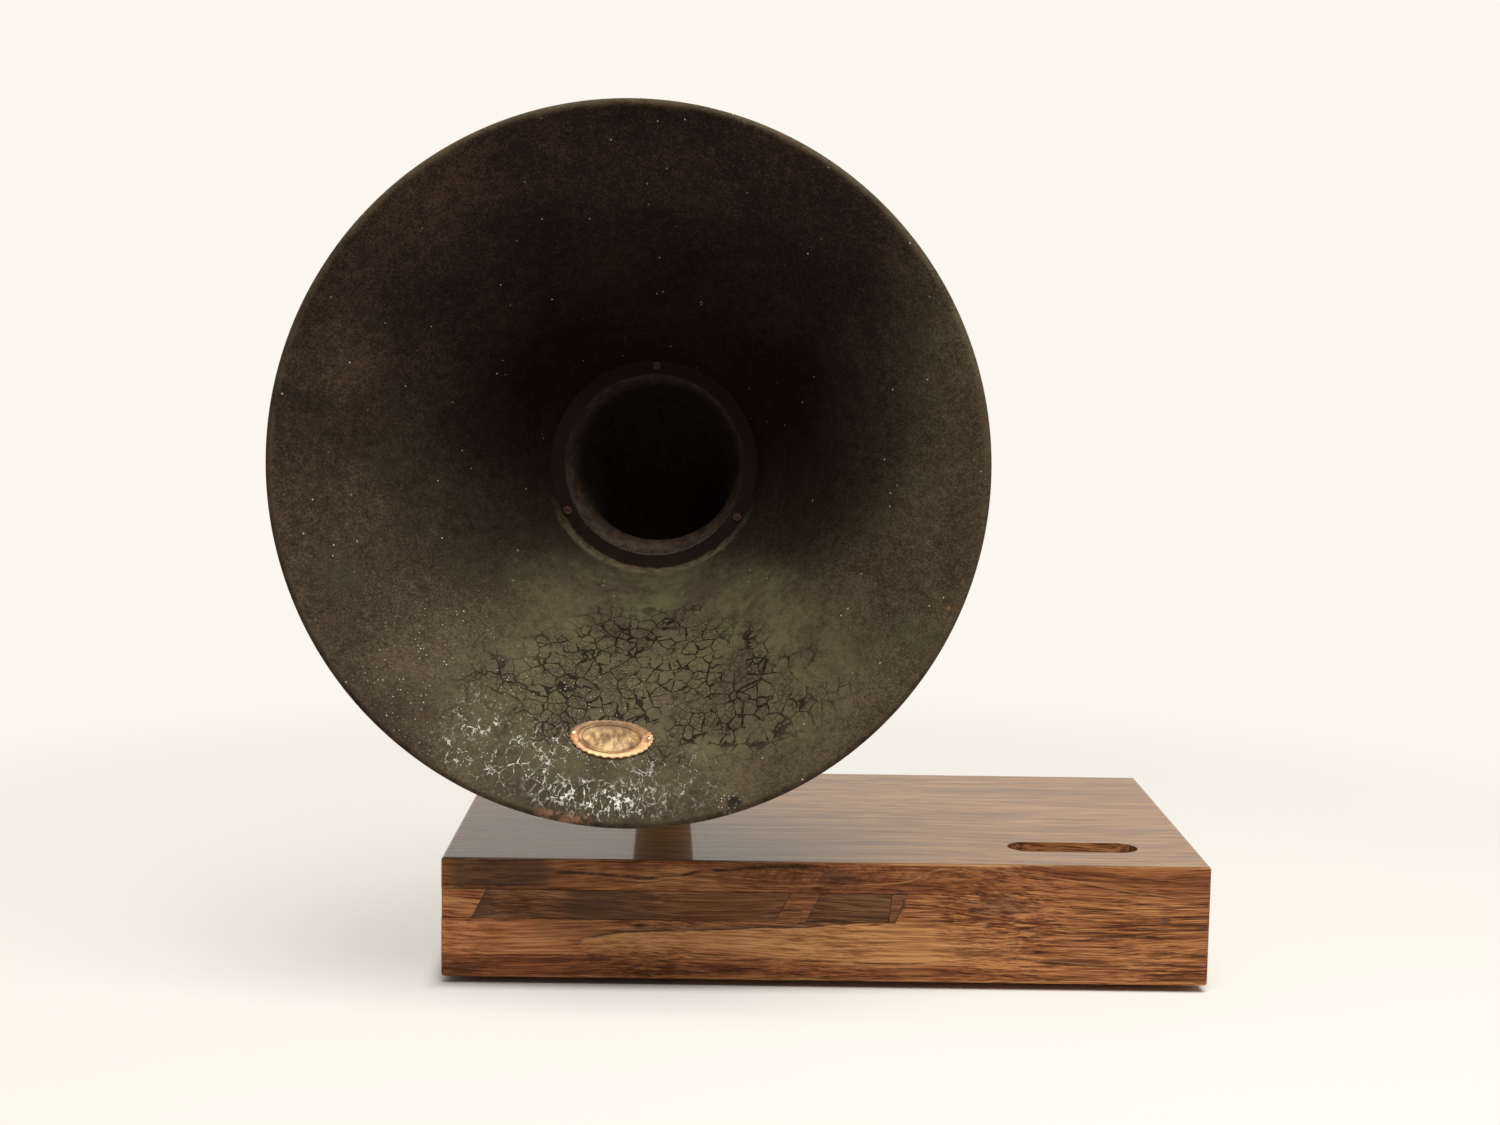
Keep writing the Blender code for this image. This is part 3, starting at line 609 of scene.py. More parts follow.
# Lines in the wood: course, half width and strength
MARK_FADE = 5
DARK_MARKS = (
    (((54, 6.4), (75, 7.4), (110, 9.1), (125, 7.8), (140, 5.4), (168, 3.3), (205, 2.4)), 0.9, 0.95),
    (((60, 9.0), (80, 10.5), (105, 11.5), (135, 9.0), (160, 7.5)), 0.35, 0.55),
    (((70, 44.2), (77, 42.6), (87, 40.0), (112, 38.5), (168, 35.8), (202, 34.0), (240, 29.5)), 0.4, 0.7),
    (((2, 52.6), (90, 52.0), (150, 53.2), (203, 53.8), (260, 54.2)), 0.4, 0.75),
    (((268, 26.0), (285, 28.5), (310, 31.0), (330, 28.5)), 0.4, 0.75),
    (((316, 42.5), (340, 40.0), (360, 37.4), (372, 38.2), (386, 40.0)), 0.6, 0.8),
    (((300, 50.5), (318, 52.5), (336, 54.0), (370, 53.6), (404, 53.0)), 0.6, 0.75),
    (((272, 1.5), (300, 4.2), (340, 10.5), (372, 15.5), (405, 17.8)), 0.45, 0.6),
    (((300, 1.5), (330, 5.0), (365, 11.0), (405, 14.5)), 0.45, 0.6),
    (((330, 1.5), (360, 5.5), (405, 10.5)), 0.4, 0.55),
    (((255, 17.5), (300, 16.0), (350, 19.5), (405, 22.0)), 0.35, 0.6),
    (((262, 38.0), (300, 36.5), (345, 33.0), (400, 31.0)), 0.35, 0.55),
)
TONGUE_HEAD = ((69, 47.5), (74, 45.6), (77, 43.6), (87, 40.8))
TONGUE_TOP = (*TONGUE_HEAD, (112, 39.3), (168, 36.6), (202, 34.8), (235, 31.0))
PALE_MARKS = (
    (TONGUE_TOP, 0.38, 0.95),
    (((4, 51.0), (60, 50.6), (96, 48.6), (150, 51.4), (203, 52.2), (262, 53.2)), 0.36, 0.7),
    (((132, 13.6), (170, 13.2), (199, 12.4), (242, 10.5), (256, 5.1), (272, 0.8)), 0.36, 0.55),
    (((268, 0.6), (291, 3.0), (330, 8.2), (370, 14.6), (405, 17.0)), 0.34, 0.4),
    (((30, 63.2), (120, 63.4), (240, 63.4), (330, 63.2)), 0.36, 0.7),
)


def marked(p, colour, along, down, broken, marks, tint):
    """Fine wandering lines, each fading out at its ends."""
    for points, half, strength in marks:
        off = p.minus(down, p.course(along, points, FRONT_SIZE))
        line = p.band(off, -half, half, 0.7 * half)
        reach = p.band(along, points[0][0] + MARK_FADE, points[-1][0] - MARK_FADE, MARK_FADE)
        colour = p.lay(colour, tint, line, reach, p.times(broken, strength))
    return colour


def patch(p, along, down, centre, size, soft):
    """One inside an oval, falling off softly."""
    flat = p.joined(p.math("DIVIDE", along, size[0]), p.math("DIVIDE", down, size[1]), 0.0)
    return p.near(flat, (centre[0] / size[0], centre[1] / size[1], 0.0), 1.0, soft)


def front_place(p, here, sway, shake):
    """Distances along, down and behind the block's front, made to wander."""
    x, y, z = p.split(p.warped(p.warped(here, 35, sway), 160, shake))
    return p.times(x, MM), p.times(z, -MM), y


def front_figure(p, here, colour, tone):
    """Figure of the block's front: bands, a pale tongue, ripple, knots and lines."""
    along, down, behind = front_place(p, here, 0.006, 0.002)
    front = p.span(behind, 0.05, 0.02)
    gold = p.ramp(tone, FIGURE_STOPS, GOLD_FIGURE)
    deep = p.ramp(tone, FIGURE_STOPS, DEEP_FIGURE)
    red = p.ramp(tone, FIGURE_STOPS, RED_FIGURE)
    warm = p.ramp(tone, FIGURE_STOPS, WARM_FIGURE)

    def laid(share, strength, tint):
        """The colour so far, with another over part of the front."""
        return p.lay(colour, tint, share, front, strength)

    # Boards above and below the strip, the upper one redder and darker
    upper = p.times(p.span(down, 18.0, 14.0), p.span(down, 0.2, 1.6))
    colour = laid(upper, 0.65, red)
    streaks = p.times(p.band(along, 60, 150, 12), p.band(down, 2.5, 13.5, 1.5))
    streaks = p.times(streaks, p.span(p.noise(45, here), 0.42, 0.62))
    colour = laid(streaks, 0.5, gold)
    end = p.times(p.band(along, 5, 56, 5), p.band(down, 0.4, 15.0, 1.4))
    colour = laid(end, 0.88, deep)
    low_left = p.times(p.span(along, 110, 50), p.span(down, 31, 34))
    colour = laid(low_left, 0.75, warm)

    # Tongue of paler wood that starts in a round end, and a pale area beyond it
    depth = p.minus(down, p.course(along, TONGUE_TOP, FRONT_SIZE))
    tongue = p.times(p.span(along, 73.5, 75.5), p.span(depth, 0.0, 0.8), p.span(down, 49.5, 46.0))
    tongue = p.times(tongue, p.span(along, 300, 215))
    tongue = p.largest(tongue, patch(p, along, down, (80, 44.2), (5.5, 2.6), 0.25))
    above = p.times(p.span(along, 66, 76), p.span(depth, -5.0, -1.0), p.span(depth, 0.2, -0.3))
    above = p.times(above, p.span(along, 235, 190))
    colour = laid(above, 0.65, deep)
    colour = laid(tongue, 0.85, gold)
    bottom = p.times(p.span(down, 52.6, 53.6), p.span(along, 330, 260))
    colour = laid(bottom, 0.35, red)
    colour = laid(patch(p, along, down, (225, 47), (50, 7), 0.8), 0.5, gold)
    colour = laid(patch(p, along, down, (66, 36), (12, 5), 1.0), 0.35, deep)
    foot = p.times(p.span(along, 34, 10), p.span(down, 50, 56))
    colour = laid(foot, 0.4, deep)

    # Ripple with slanting strokes under the top edge
    side = p.math("ABSOLUTE", p.minus(down, 6.0))
    slant = p.joined(p.plus(along, side, 0.9), p.times(down, 0.35), 0.0)
    stroke = p.span(p.noise(0.55, slant, 2.0, 0.5), 0.47, 0.57)
    ripple = p.times(p.band(along, 150, 262, 12), p.band(down, 1.5, 11.0, 1.5))
    colour = laid(p.times(ripple, stroke), 0.5, WOOD_TONES[0])

    for centre, size, strength in KNOTS:
        colour = laid(patch(p, along, down, centre, size, 0.7), strength, deep)
    slope = p.plus(p.times(along, -1.0), down, 5.0)
    corner = p.times(p.span(slope, -285, -305), p.span(along, 290, 330))
    colour = laid(corner, 0.6, red)

    # Lines, broken here and there, and a worn upper edge lightened with a painted highlight
    along, down, _ = front_place(p, here, 0.0028, 0.001)
    torn = p.noise(1.0, p.stretched((60, 200, 200), here))
    broken = p.times(front, p.span(torn, 0.38, 0.56, 0.25, 1.0))
    colour = marked(p, colour, along, down, broken, DARK_MARKS, DARK_MARK_TINT)
    colour = marked(p, colour, along, down, broken, PALE_MARKS, PALE_MARK_TINT)
    thin = p.span(p.split(here)[2], -0.0012, -0.0004)
    worn = p.span(p.noise(50, here, 4.0, 0.7), 0.46, 0.58, 0.0, 0.6)
    worn = p.largest(worn, p.band(along, 232, 298, 8))
    return laid(p.times(thin, worn), 0.8, WORN_EDGE_HIGHLIGHT_TINT)


def end_grain(p, here):
    """Colour of the cut ends: growth rings round the heart, and fine pores."""
    y, z = p.split(p.warped(here, 30, 0.005))[1:]
    away = p.length(p.minus(y, HEART_AT[0]), p.minus(z, HEART_AT[1]))
    ring = p.noise(1.0, p.joined(p.times(away, 330), 0.0, 0.0), 3.0, 0.6)
    grain = p.noise(800, here, 3.0, 0.7)
    colour = p.ramp(p.weighed((grain, 0.4), (ring, 0.6)), END_STOPS, END_TONES)
    pores = p.span(p.cells(950, here, "F1"), 0.24, 0.12)
    return p.lay(colour, END_PORE_TINT, pores, 0.7)


def block_wood():
    """Varnished wood of the block, with its own front, top and ends."""
    p = varnished("figured_block_wood")
    low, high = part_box("wood_block")
    here = p.moved(Matrix.Translation((low.x, low.y, high.z)))
    x, y, z = p.split(here)

    # Fibres dip towards the right end of the front
    dip = p.times(p.span(x, 0.25, 0.4), p.span(z, -0.042, 0.0), 0.009)
    bent = p.joined(x, y, p.math("ADD", z, dip))
    colour, tone, pore = wood_figure(p, bent, WOOD_TONES)
    colour = front_figure(p, here, colour, tone)

    # The top is calmer, with a fine drying crack near its left end
    broad = p.noise(1.0, p.stretched((8, 420, 420), p.warped(here, 7, 0.012, 0.0)), 3.0, 0.6)
    smooth = p.ramp(p.weighed((tone, 0.6), (broad, 0.4)), TOP_STOPS, TOP_TONES)
    sideways, _, upward = p.facing()
    colour = p.lay(colour, smooth, p.span(upward, 0.6, 0.95))
    wander = p.plus(y, p.noise(40, here, 2.0), 0.006)
    split = p.times(p.band(wander, 0.0907, 0.0913, 0.0004), p.span(x, 0.06, 0.04))
    colour = p.lay(colour, SPLIT_TINT, split, 0.85)

    at_end = p.span(p.math("ABSOLUTE", sideways), 0.6, 0.95)
    return wood_done(p, p.mix(at_end, colour, end_grain(p, here)), tone, pore)


def inlay_wood(name, tones, shift, warm, dim):
    """Wood of one let-in piece, redder or darker over some stretches."""
    p = varnished(name)
    colour, tone, pore = wood_figure(p, p.shifted(shift), tones)
    x = p.split(p.warped(p.moved(Matrix.Translation(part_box("wood_block")[0])), 60, 0.012))[0]
    blush = p.ramp(tone, FIGURE_STOPS, BLUSH_FIGURE)
    for start, end in warm:
        colour = p.lay(colour, blush, p.band(x, start, end, 0.006), 0.75)
    for start, end in dim:
        colour = p.lay(colour, DIM_TINT, p.band(x, start, end, 0.006), 0.6)
    return wood_done(p, colour, tone, pore)


def board_wood():
    """Plain sanded board under the block."""
    p = Paint("plain_board", 0.7)
    colour, tone, pore = wood_figure(p, p.shifted((0.7, 0.2, 0.4)), BOARD_TONES)
    return wood_done(p, colour, tone, pore, 0.0003, 0.6)


# Metals, rubber and felt, from dark to light
METAL_STOPS = (0.32, 0.5, 0.68)
METAL_GRAIN = 240
STEEL_TONES = ((0.22, 0.21, 0.2), (0.44, 0.43, 0.41), (0.58, 0.57, 0.54))
IRON_TONES = ((0.13, 0.12, 0.11), (0.25, 0.23, 0.21), (0.36, 0.33, 0.3))
BRASS_TONES = ((0.4, 0.27, 0.11), (0.62, 0.44, 0.19), (0.76, 0.58, 0.29))
PIN_TONES = ((0.5, 0.36, 0.17), (0.75, 0.58, 0.3), (0.9, 0.76, 0.48))
SCREW_STOPS = (0.36, 0.5, 0.66)
SCREW_TONES = ((0.016, 0.008, 0.005), (0.054, 0.025, 0.012), (0.14, 0.068, 0.031))
RUBBER_TONES = ((0.012, 0.012, 0.012), (0.03, 0.029, 0.028))
FELT_TONES = ((0.04, 0.028, 0.02), (0.09, 0.066, 0.047))
BADGE_STOPS = (0.38, 0.5, 0.64)
COPPER_TONES = ((0.19, 0.086, 0.034), (0.36, 0.186, 0.08), (0.54, 0.31, 0.148))
GILT_TONES = ((0.14, 0.074, 0.026), (0.31, 0.185, 0.07), (0.5, 0.33, 0.14))
PAINTED_HIGHLIGHT_TINT = (0.78, 0.56, 0.3)
LOWER_RIM_HIGHLIGHT_TINT = (0.8, 0.49, 0.255)
UPPER_SHADE_TINT = (0.13, 0.07, 0.031)
GROOVE_TINT = (0.12, 0.06, 0.028)
TARNISH_TINT = (0.085, 0.044, 0.02)


def metal(name, roughness, tones):
    """Bare metal with a clouded, scuffed surface."""
    p = Paint(name, roughness, Metallic=1.0)
    tone = p.noise(METAL_GRAIN, None, 5.0, 0.7)
    scuffs = p.bump(p.noise(METAL_GRAIN * 4), 0.00012, 0.5)
    return p.done(p.ramp(tone, METAL_STOPS, tones), scuffs, p.plus(roughness - 0.2, tone, 0.4))


def rusty_screw():
    """Screw heads that have gone brown with rust."""
    p = Paint("rusty_screw", 0.6, Specular_IOR_Level=0.2)
    tone = p.noise(420, None, 5.0, 0.7)
    return p.done(p.ramp(tone, SCREW_STOPS, SCREW_TONES), p.bump(tone, 0.0003, 0.7))


def soft_matt(name, tones, scale, roughness):
    """Rubber or felt: a matt surface with a fine nap."""
    p = Paint(name, roughness, Specular_IOR_Level=0.25)
    tone = p.noise(scale, None, 4.0, 0.7)
    return p.done(p.ramp(tone, TWO_STOPS, tones), p.bump(tone, 0.0004, 0.8))


def badge_metal():
    """Worn copper: a golden, tarnished middle and a copper rim, with painted highlights low in the middle and
    on the lower rim, and painted shade over the upper part.
    """
    p = Paint("worn_copper_plate", 0.5, Metallic=0.3)
    low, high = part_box("badge_plate")
    centre = (low + high) / 2
    half = (high - low) / 2
    x, _, z = p.split(p.where)
    across = p.math("DIVIDE", p.minus(x, centre.x), half.x)
    up = p.math("DIVIDE", p.minus(z, centre.z), half.z)
    share = p.length(across, up)
    cloud = p.noise(190, None, 4.0, 0.7)
    copper = p.ramp(cloud, BADGE_STOPS, COPPER_TONES)
    gilt = p.ramp(cloud, BADGE_STOPS, GILT_TONES)
    rim = p.span(share, 0.62, 0.8)
    colour = p.mix(rim, gilt, copper)
    # Painted highlight low in the middle of the plate
    painted_highlight = p.near(p.joined(across, up, 0.0), (0.05, -0.28, 0.0), 0.05, 0.45)
    colour = p.lay(colour, PAINTED_HIGHLIGHT_TINT, painted_highlight, 0.5)
    # Painted highlight on the lower rim, and painted shade over the upper part
    colour = p.lay(colour, LOWER_RIM_HIGHLIGHT_TINT, rim, p.span(up, -0.2, -0.65), 0.65)
    colour = p.lay(colour, UPPER_SHADE_TINT, p.span(up, 0.15, 0.8, 0.0, 0.72))
    groove = p.times(p.band(share, 0.65, 0.69, 0.02), p.span(up, 0.0, -0.4))
    colour = p.lay(colour, GROOVE_TINT, groove, 0.5)

    # Cloudy tarnish over the middle, without any edges
    scuff = p.noise(1.0, p.stretched((260, 150, 150), p.warped(p.where, 120, 0.004)), 3.0, 0.6)
    middle = p.times(p.band(up, -0.45, 0.5, 0.35), p.span(p.math("ABSOLUTE", across), 0.8, 0.4))
    stain = p.times(p.span(scuff, 0.36, 0.66), middle)
    colour = p.lay(colour, TARNISH_TINT, stain, 0.62)
    normal = p.bump(p.plus(cloud, scuff, 0.6), 0.0003, 0.6)
    return p.done(colour, normal, p.plus(0.45, stain, 0.25))


# Shapes


def bezier(points, t):
    """Point of a cubic curve, t being 0 at its start and 1 at its end."""
    u = 1 - t
    a, b, c, d = points
    return a * u**3 + b * (3 * u * u * t) + c * (3 * u * t * t) + d * t**3


def full_turn(segs):
    """Evenly spaced angles round a circle."""
    return [2 * math.pi * i / segs for i in range(segs)]


def mesh_of(name, bm):
    mesh = bpy.data.meshes.new(name)
    bm.to_mesh(mesh)
    bm.free()
    return mesh


def shown(name, data):
    """A new object with this data, in the scene."""
    thing = bpy.data.objects.new(name, data)
    bpy.context.scene.collection.objects.link(thing)
    return thing


def finish(name, bm, materials, place, body, replaced):
    """Turns a bmesh into a piece that stands for CAD nodes and rides on their body."""
    mesh = mesh_of(name, bm)
    mesh.transform(place)
    for material in materials:
        mesh.materials.append(material)
    mesh.shade_smooth()
    mesh.set_sharp_from_angle(angle=SHARP)
    piece = shown(name, mesh)
    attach(piece, body)
    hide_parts(*replaced)


def skin(bm, rings, closed=False):
    """Joins rings of vertices into a surface. A ring of one vertex is a pole."""
    faces = []
    pairs = list(zip(rings, rings[1:]))
    if closed:
        pairs.append((rings[-1], rings[0]))
    for low, high in pairs:
        strip = []
        count = max(len(low), len(high))
        for i in range(count):
            below = [low[i % len(low)], low[(i + 1) % len(low)]]
            above = [high[(i + 1) % len(high)], high[i % len(high)]]
            strip.append(bm.faces.new(tuple(dict.fromkeys(below + above))))
        faces.append(strip)
    bmesh.ops.recalc_face_normals(bm, faces=bm.faces)
    return faces


def use_second(strips):
    """Shows the piece's second material on some strips of its surface."""
    for strip in strips:
        for face in strip:
            face.material_index = 1


def bead_centre():
    """Middle of the rolled rim, as radius and height."""
    inset = CURL_R + BELL_T / 2
    return Vector((MOUTH_R - inset, BELL_DEPTH - inset))


def flare_points():
    """Control points of the bell's mid-line, as radius and height."""
    leave = Vector((math.sin(START_ANGLE), math.cos(START_ANGLE)))
    arrive = Vector((math.sin(END_ANGLE), math.cos(END_ANGLE)))
    start = Vector((THROAT_R, BELL_T / 2))
    end = bead_centre() - Vector((arrive.y, -arrive.x)) * CURL_R
    return start, start + leave * START_PULL, end - arrive * END_PULL, end


def bell_line(steps=72, curl_steps=26):
    """Mid-line of the bell's sheet: bore, flat flange, flare and rolled rim."""
    flare = flare_points()
    radii = (BORE_R, BORE_R + SHEET_EDGE, THROAT_R - SHEET_EDGE)
    line = [Vector((radius, BELL_T / 2)) for radius in radii]
    line += [bezier(flare, i / steps) for i in range(steps + 1)]
    bead = bead_centre()
    arm = flare[3] - bead
    begin = math.atan2(arm.y, arm.x)
    for i in range(1, curl_steps + 1):
        a = begin - CURL_ANGLE * i / curl_steps
        line.append(bead + Vector((math.cos(a), math.sin(a))) * CURL_R)
    return line


def beside(line, gap):
    """The line moved to its right-hand side, with mitred corners."""
    moved = []
    for i, point in enumerate(line):
        before = (point - line[max(i - 1, 0)]).normalized()
        after = (line[min(i + 1, len(line) - 1)] - point).normalized()
        if before.length == 0:
            before = after
        if after.length == 0:
            after = before
        left = Vector((before.y, -before.x))
        right = Vector((after.y, -after.x))
        moved.append(point + (left + right) * (gap / (1 + left.dot(right))))
    return moved


def dent(x, y):
    """How far the bell's sheet is pushed back at a place."""
    reach = (Vector((x, y)) - DIMPLE_AT).length / DIMPLE_R
    dimple = DIMPLE_DEEP * math.exp(-reach * reach)
    waves = noise.noise(Vector((x, y, 0.3)) * WAVES_PER_M) * WAVE_DEEP
    return dimple + waves


def build_bell(segs=240):
    """Spun bell with a rolled rim, a dimple and slight unevenness."""
    line = bell_line()
    inner = beside(line, -BELL_T / 2)
    outer = beside(line, BELL_T / 2)
    bm = bmesh.new()
    rings = []
    for radius, height in inner + outer[::-1]:
        ring = []
        for a in full_turn(segs):
            x = radius * math.cos(a)
            y = radius * math.sin(a)
            ring.append(bm.verts.new((x, y, height - dent(x, y))))
        rings.append(ring)
    use_second(skin(bm, rings, closed=True)[len(inner) : -1])
    paints = [bell_inside_paint(), bell_outside_paint()]
    finish("bell_shell", bm, paints, bell_frame, "horn", ["bell"])


def build_neck(segs=96, steps=56):
    """Hollow gooseneck: flange, tapering bend, collar and spigot, with softened edges."""
    back = Vector((0, math.cos(BELL_TILT), -math.sin(BELL_TILT)))
    up = Vector((0, 0, 1))
    mouth = Vector((0, -NECK_REACH, NECK_RISE)) + back * CLEAR
    start = mouth + back * FLANGE_T
    end = up * COLLAR_HIGH
    path = (start, start + back * NECK_BEND_TOP, end + up * NECK_BEND_FOOT, end)
    spots = [bezier(path, i / steps) for i in range(steps + 1)]
    run = [0.0]
    for before, after in zip(spots, spots[1:]):
        run.append(run[-1] + (after - before).length)
    bm = bmesh.new()

    def ring(centre, ahead, radius):
        across = Vector((1, 0, 0))
        other = ahead.cross(across)
        arms = [across * math.cos(a) + other * math.sin(a) for a in full_turn(segs)]
        return [bm.verts.new(centre + arm * radius) for arm in arms]

    def bend_ring(i, extra):
        ahead = (spots[min(i + 1, steps)] - spots[max(i - 1, 0)]).normalized()
        if i == 0:
            ahead = back
        if i == steps:
            ahead = -up
        radius = BORE_R * (NECK_BORE_R / BORE_R) ** (run[i] / run[-1])
        return ring(spots[i], ahead, radius + extra)

    front = [(mouth, BORE_R), (mouth, FLANGE_R - FILLET), (mouth + back * FILLET, FLANGE_R)]
    rear = [(start - back * FILLET, FLANGE_R), (start, FLANGE_R - FILLET)]
    root = [(start, BORE_R + NECK_WALL + FILLET)]
    collar = [(COLLAR_HIGH, COLLAR_R - FILLET), (COLLAR_HIGH - FILLET, COLLAR_R), (COLLAR_LOW, COLLAR_R)]
    spigot = [(COLLAR_LOW, SPIGOT_R), (SPIGOT_LOW, SPIGOT_R), (SPIGOT_LOW, NECK_BORE_R)]
    rings = [ring(centre, back, radius) for centre, radius in front + rear + root]
    rings += [bend_ring(i, NECK_WALL) for i in range(1, steps + 1)]
    rings += [ring(up * height, -up, radius) for height, radius in collar + spigot]
    outside = len(rings)
    rings += [bend_ring(i, 0.0) for i in range(steps, -1, -1)]
    use_second(skin(bm, rings, closed=True)[outside - 1 :])
    finish("neck_tube", bm, [neck_paint(), neck_bore_shade()], pivot, "horn", ["neck"])


def on_bell(along, across, lift):
    """A place on the bell's inside, by distances from the plate's centre and a height above the sheet."""
    flare = flare_points()
    step = 0.001
    speed = (bezier(flare, BADGE_AT + step) - bezier(flare, BADGE_AT - step)).length / (2 * step)
    t = BADGE_AT + along / speed
    point = bezier(flare, t)
    rise = (bezier(flare, t + step) - bezier(flare, t - step)).normalized()
    point = point + Vector((-rise.y, rise.x)) * (BELL_T / 2 + lift)
    a = BADGE_ANGLE + across / bezier(flare, BADGE_AT).x
    return Vector((point.x * math.cos(a), point.x * math.sin(a), point.y))


def badge_levels():
    """Section of the plate from its edge to its middle, as share of its half width and height."""
    crest = BADGE_T + BADGE_RIDGE
    edge = [(1.0, 0.0), (1.0, 0.6 * BADGE_T), (0.97, BADGE_T), (0.9, 0.95 * BADGE_T), (0.84, BADGE_T)]
    ridge = [(0.8, 0.75 * crest), (0.77, crest), (0.73, crest), (0.7, 0.75 * crest)]
    field = [(share / 100, BADGE_T * (0.62 + 0.5 * (1 - share / 70))) for share in range(66, 2, -7)]
    return edge + ridge + field


def build_badge(segs=136):
    """Blank oval plate with a scalloped edge, a raised ridge and a gently beaten field."""
    bm = bmesh.new()
    rings = [[bm.verts.new(on_bell(0, 0, BADGE_LIFT))]]
    for share, lift in badge_levels():
        ring = []
        lobe_deep = LOBE_DEEP if share > LOBED_FROM else 0.0
        beat_deep = BEAT_DEEP if share < BEATEN_TO else 0.0
        for a in full_turn(segs):
            lobe = lobe_deep * math.cos(BADGE_LOBES * a)
            across = (BADGE_W / 2 * share + lobe) * math.cos(a)
            along = (BADGE_H / 2 * share + lobe) * math.sin(a)
            beaten = beat_deep * noise.noise(Vector((across, along, 0)) * BEATS_PER_M)
            ring.append(bm.verts.new(on_bell(along, across, BADGE_LIFT + lift + beaten)))
        rings.append(ring)
    rings.append([bm.verts.new(on_bell(0, 0, BADGE_LIFT + BADGE_CROWN * BADGE_T))])
    skin(bm, rings)
    finish("badge_oval", bm, [badge_metal()], bell_frame, "horn", ["badge_plate"])


def build_pins(material, segs=28):
    """Round heads of the two pins that hold the plate."""
    section = [(1.0, 0.0), (1.0, 0.3), (0.92, 0.62), (0.72, 0.88), (0.4, 1.0)]
    for side, name in ((-1, "left"), (1, "right")):
        across = side * PIN_AT * BADGE_W / 2
        seat = on_bell(0, across, BADGE_LIFT + PIN_SEAT * BADGE_T)
        out = (seat - on_bell(0, across, 0)).normalized()
        place = Matrix.Translation(seat) @ out.to_track_quat("Z", "Y").to_matrix().to_4x4()
        bm = bmesh.new()
        rings = []
        for share, lift in section:
            r = PIN_HEAD_R * share
            z = PIN_HEAD_H * lift
            rings.append([bm.verts.new((r * math.cos(a), r * math.sin(a), z)) for a in full_turn(segs)])
        rings.append([bm.verts.new((0, 0, PIN_HEAD_H * PIN_TIP))])
        skin(bm, rings)
        replaced = [f"badge_pin_{name}"]
        finish(f"badge_pin_head_{name}", bm, [material], bell_frame @ place, "horn", replaced)


def dress(node, material):
    """Gives a CAD node its material."""
    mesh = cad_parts[node].data
    mesh.materials.clear()
    mesh.materials.append(material)


def dress_cad():
    """Materials of the CAD nodes that are shown as they are."""
    dress("wood_block", block_wood())
    for number, (tones, shift, warm, dim) in enumerate(INLAYS, 1):
        dress(f"front_inlay_{number}", inlay_wood(f"inlay_wood_{number}", tones, shift, warm, dim))
    dress("bottom_cover", board_wood())
    steel = metal("dull_steel", 0.45, STEEL_TONES)
    iron = metal("drawn_iron", 0.5, IRON_TONES)
    brass = metal("turned_brass", 0.38, BRASS_TONES)
    rubber = soft_matt("foot_rubber", RUBBER_TONES, 500, 0.75)
    felt = soft_matt("washer_felt", FELT_TONES, 900, 0.95)
    rust = rusty_screw()
    for i in range(6):
        dress(f"cover_screw_{i + 1}", steel)
    for corner in ("front_left", "front_right", "rear_left", "rear_right"):
        dress(f"foot_{corner}", rubber)
        dress(f"foot_screw_{corner}", steel)
    for i in range(3):
        dress(f"flange_screw_{i + 1}", rust)
    dress("rim_wire", iron)
    dress("socket_bush", brass)
    dress("felt_washer", felt)


# Floor, light and camera
FLOOR_R = 1.0
FLOOR_NEAR = 0.45
FLOOR_FADE = 0.5
FLOOR_STOPS = (0.3, 0.7)
FLOOR_TONES = ((0.88, 0.86, 0.82), (0.9, 0.88, 0.84))
FLOOR_LIFT = 0.6
UNDER_BLOCK = -0.004
CLEAR_OF_BLOCK = 0.012
BACKGROUND = (0.975, 0.935, 0.86)
ROOM_BACK = (0.42, 0.385, 0.345)
ROOM_FRONT = (0.13, 0.12, 0.105)
ROOM_TURN = (-0.45, 0.35)
LAMP_AT = Vector((0.3, -0.9, 1.75))
LAMP_AIM = Vector((0, 0, 0.15))
LAMP_SIZE = 1.4
LAMP_WATTS = 44.0
LAMP_COLOUR = (1.0, 0.965, 0.91)


def build_floor():
    """Pale floor that fades into the white background away from the object."""
    bm = bmesh.new()
    bmesh.ops.create_circle(bm, cap_ends=True, segments=96, radius=FLOOR_R)
    floor = shown("floor", mesh_of("floor", bm))
    p = Paint("pale_floor", 0.8, Specular_IOR_Level=0.1)
    p.set("Base Color", p.ramp(p.noise(3.0), FLOOR_STOPS, FLOOR_TONES))

    # Seen directly, the floor is lightened everywhere but under the block
    x, y, _ = p.split(p.where)
    low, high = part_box("wood_block")
    off_x = p.largest(p.minus(low.x, x), p.minus(x, high.x))
    off_y = p.largest(p.minus(low.y, y), p.minus(y, high.y))
    clear_of = p.span(p.largest(off_x, off_y), UNDER_BLOCK, CLEAR_OF_BLOCK)
    seen = p.add("ShaderNodeLightPath").outputs["Is Camera Ray"]
    white = p.add("ShaderNodeEmission", (*BACKGROUND, 1.0)).outputs[0]
    lifted = p.blend(p.times(seen, clear_of, FLOOR_LIFT), p.surface.outputs[0], white)
    clear = p.add("ShaderNodeBsdfTransparent").outputs[0]
    near = p.near(p.where, (0, 0, 0), FLOOR_R * FLOOR_NEAR, FLOOR_R * FLOOR_FADE)
    p.feed(p.tree.nodes["Material Output"].inputs["Surface"], p.blend(near, clear, lifted))
    floor.data.materials.append(p.material)


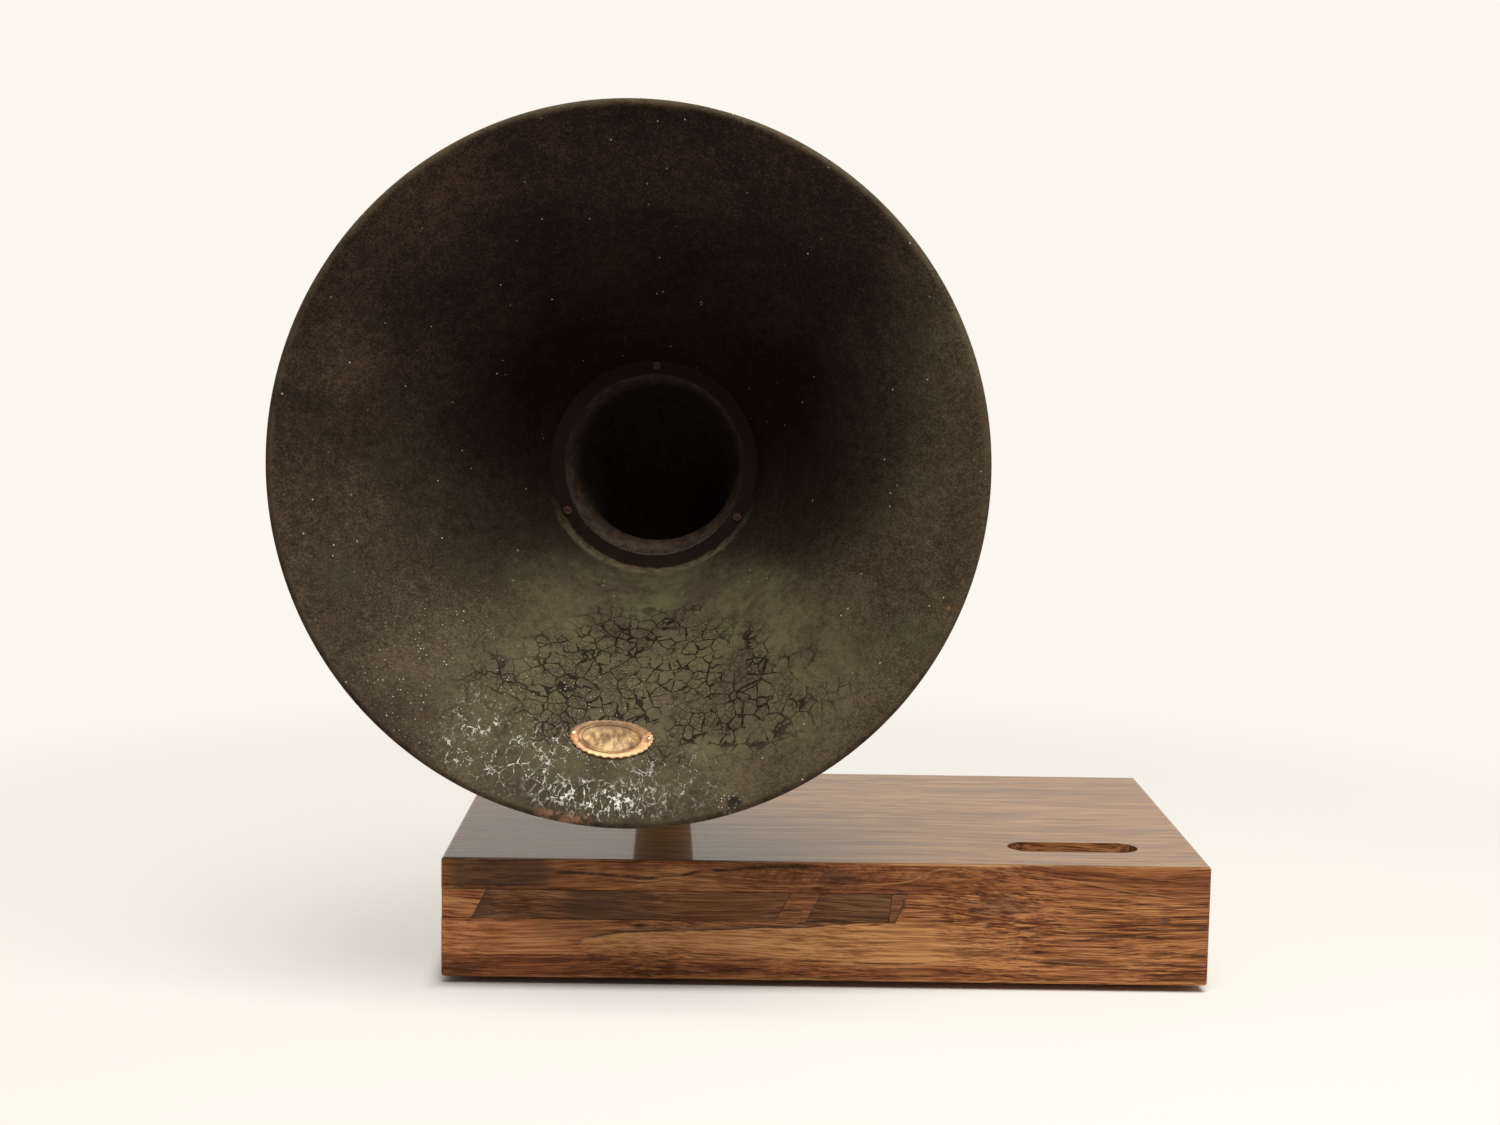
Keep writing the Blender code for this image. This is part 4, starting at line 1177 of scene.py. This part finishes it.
def build_light():
    """One large soft lamp overhead, in a room that is white behind the object and dim in front of it."""
    world = bpy.data.worlds.new("studio")
    world.use_nodes = True
    bpy.context.scene.world = world
    n = Nodes(world.node_tree)
    backdrop = n.tree.nodes["Background"]
    n.feed(backdrop.inputs["Color"], (*BACKGROUND, 1.0))
    y = n.split(n.add("ShaderNodeTexCoord").outputs["Generated"])[1]
    room = n.add("ShaderNodeBackground", n.mix(n.span(y, *ROOM_TURN), ROOM_FRONT, ROOM_BACK))
    path = n.add("ShaderNodeLightPath").outputs
    seen = n.largest(path["Is Camera Ray"], path["Is Glossy Ray"])
    either = n.blend(seen, room.outputs[0], backdrop.outputs[0])
    n.feed(n.tree.nodes["World Output"].inputs["Surface"], either)

    lamp = bpy.data.lights.new("overhead", "AREA")
    lamp.shape = "DISK"
    lamp.size = LAMP_SIZE
    lamp.energy = LAMP_WATTS
    lamp.color = LAMP_COLOUR
    light = shown("overhead", lamp)
    light.location = LAMP_AT
    light.rotation_euler = (LAMP_AIM - LAMP_AT).to_track_quat("-Z", "Y").to_euler()


def build_camera():
    """Camera with the picture's angle of view, turned by yaw, pitch and roll."""
    yaw, pitch, roll = (math.radians(v) for v in (CAMERA_YAW, CAMERA_PITCH, CAMERA_ROLL))
    right = Vector((math.cos(yaw), math.sin(yaw), 0))
    ahead = Vector((-math.sin(yaw) * math.cos(pitch), math.cos(yaw) * math.cos(pitch), math.sin(pitch)))
    up = right.cross(ahead)
    side = right * math.cos(roll) + up * math.sin(roll)
    top = up * math.cos(roll) - right * math.sin(roll)
    data = bpy.data.cameras.new("camera")
    data.sensor_width = SENSOR_MM
    data.lens = FOCAL_PX / PICTURE_W * SENSOR_MM
    data.clip_start = 0.01
    camera = shown("camera", data)
    turn = Matrix((side, top, -ahead)).transposed().to_4x4()
    camera.matrix_world = Matrix.Translation(CAMERA_AT) @ turn
    bpy.context.scene.camera = camera


def main():
    dress_cad()
    build_bell()
    build_neck()
    build_badge()
    build_pins(metal("bright_brass_pin", 0.34, PIN_TONES))
    build_floor()
    build_light()
    build_camera()
    bpy.context.scene.view_settings.view_transform = "Standard"


main()
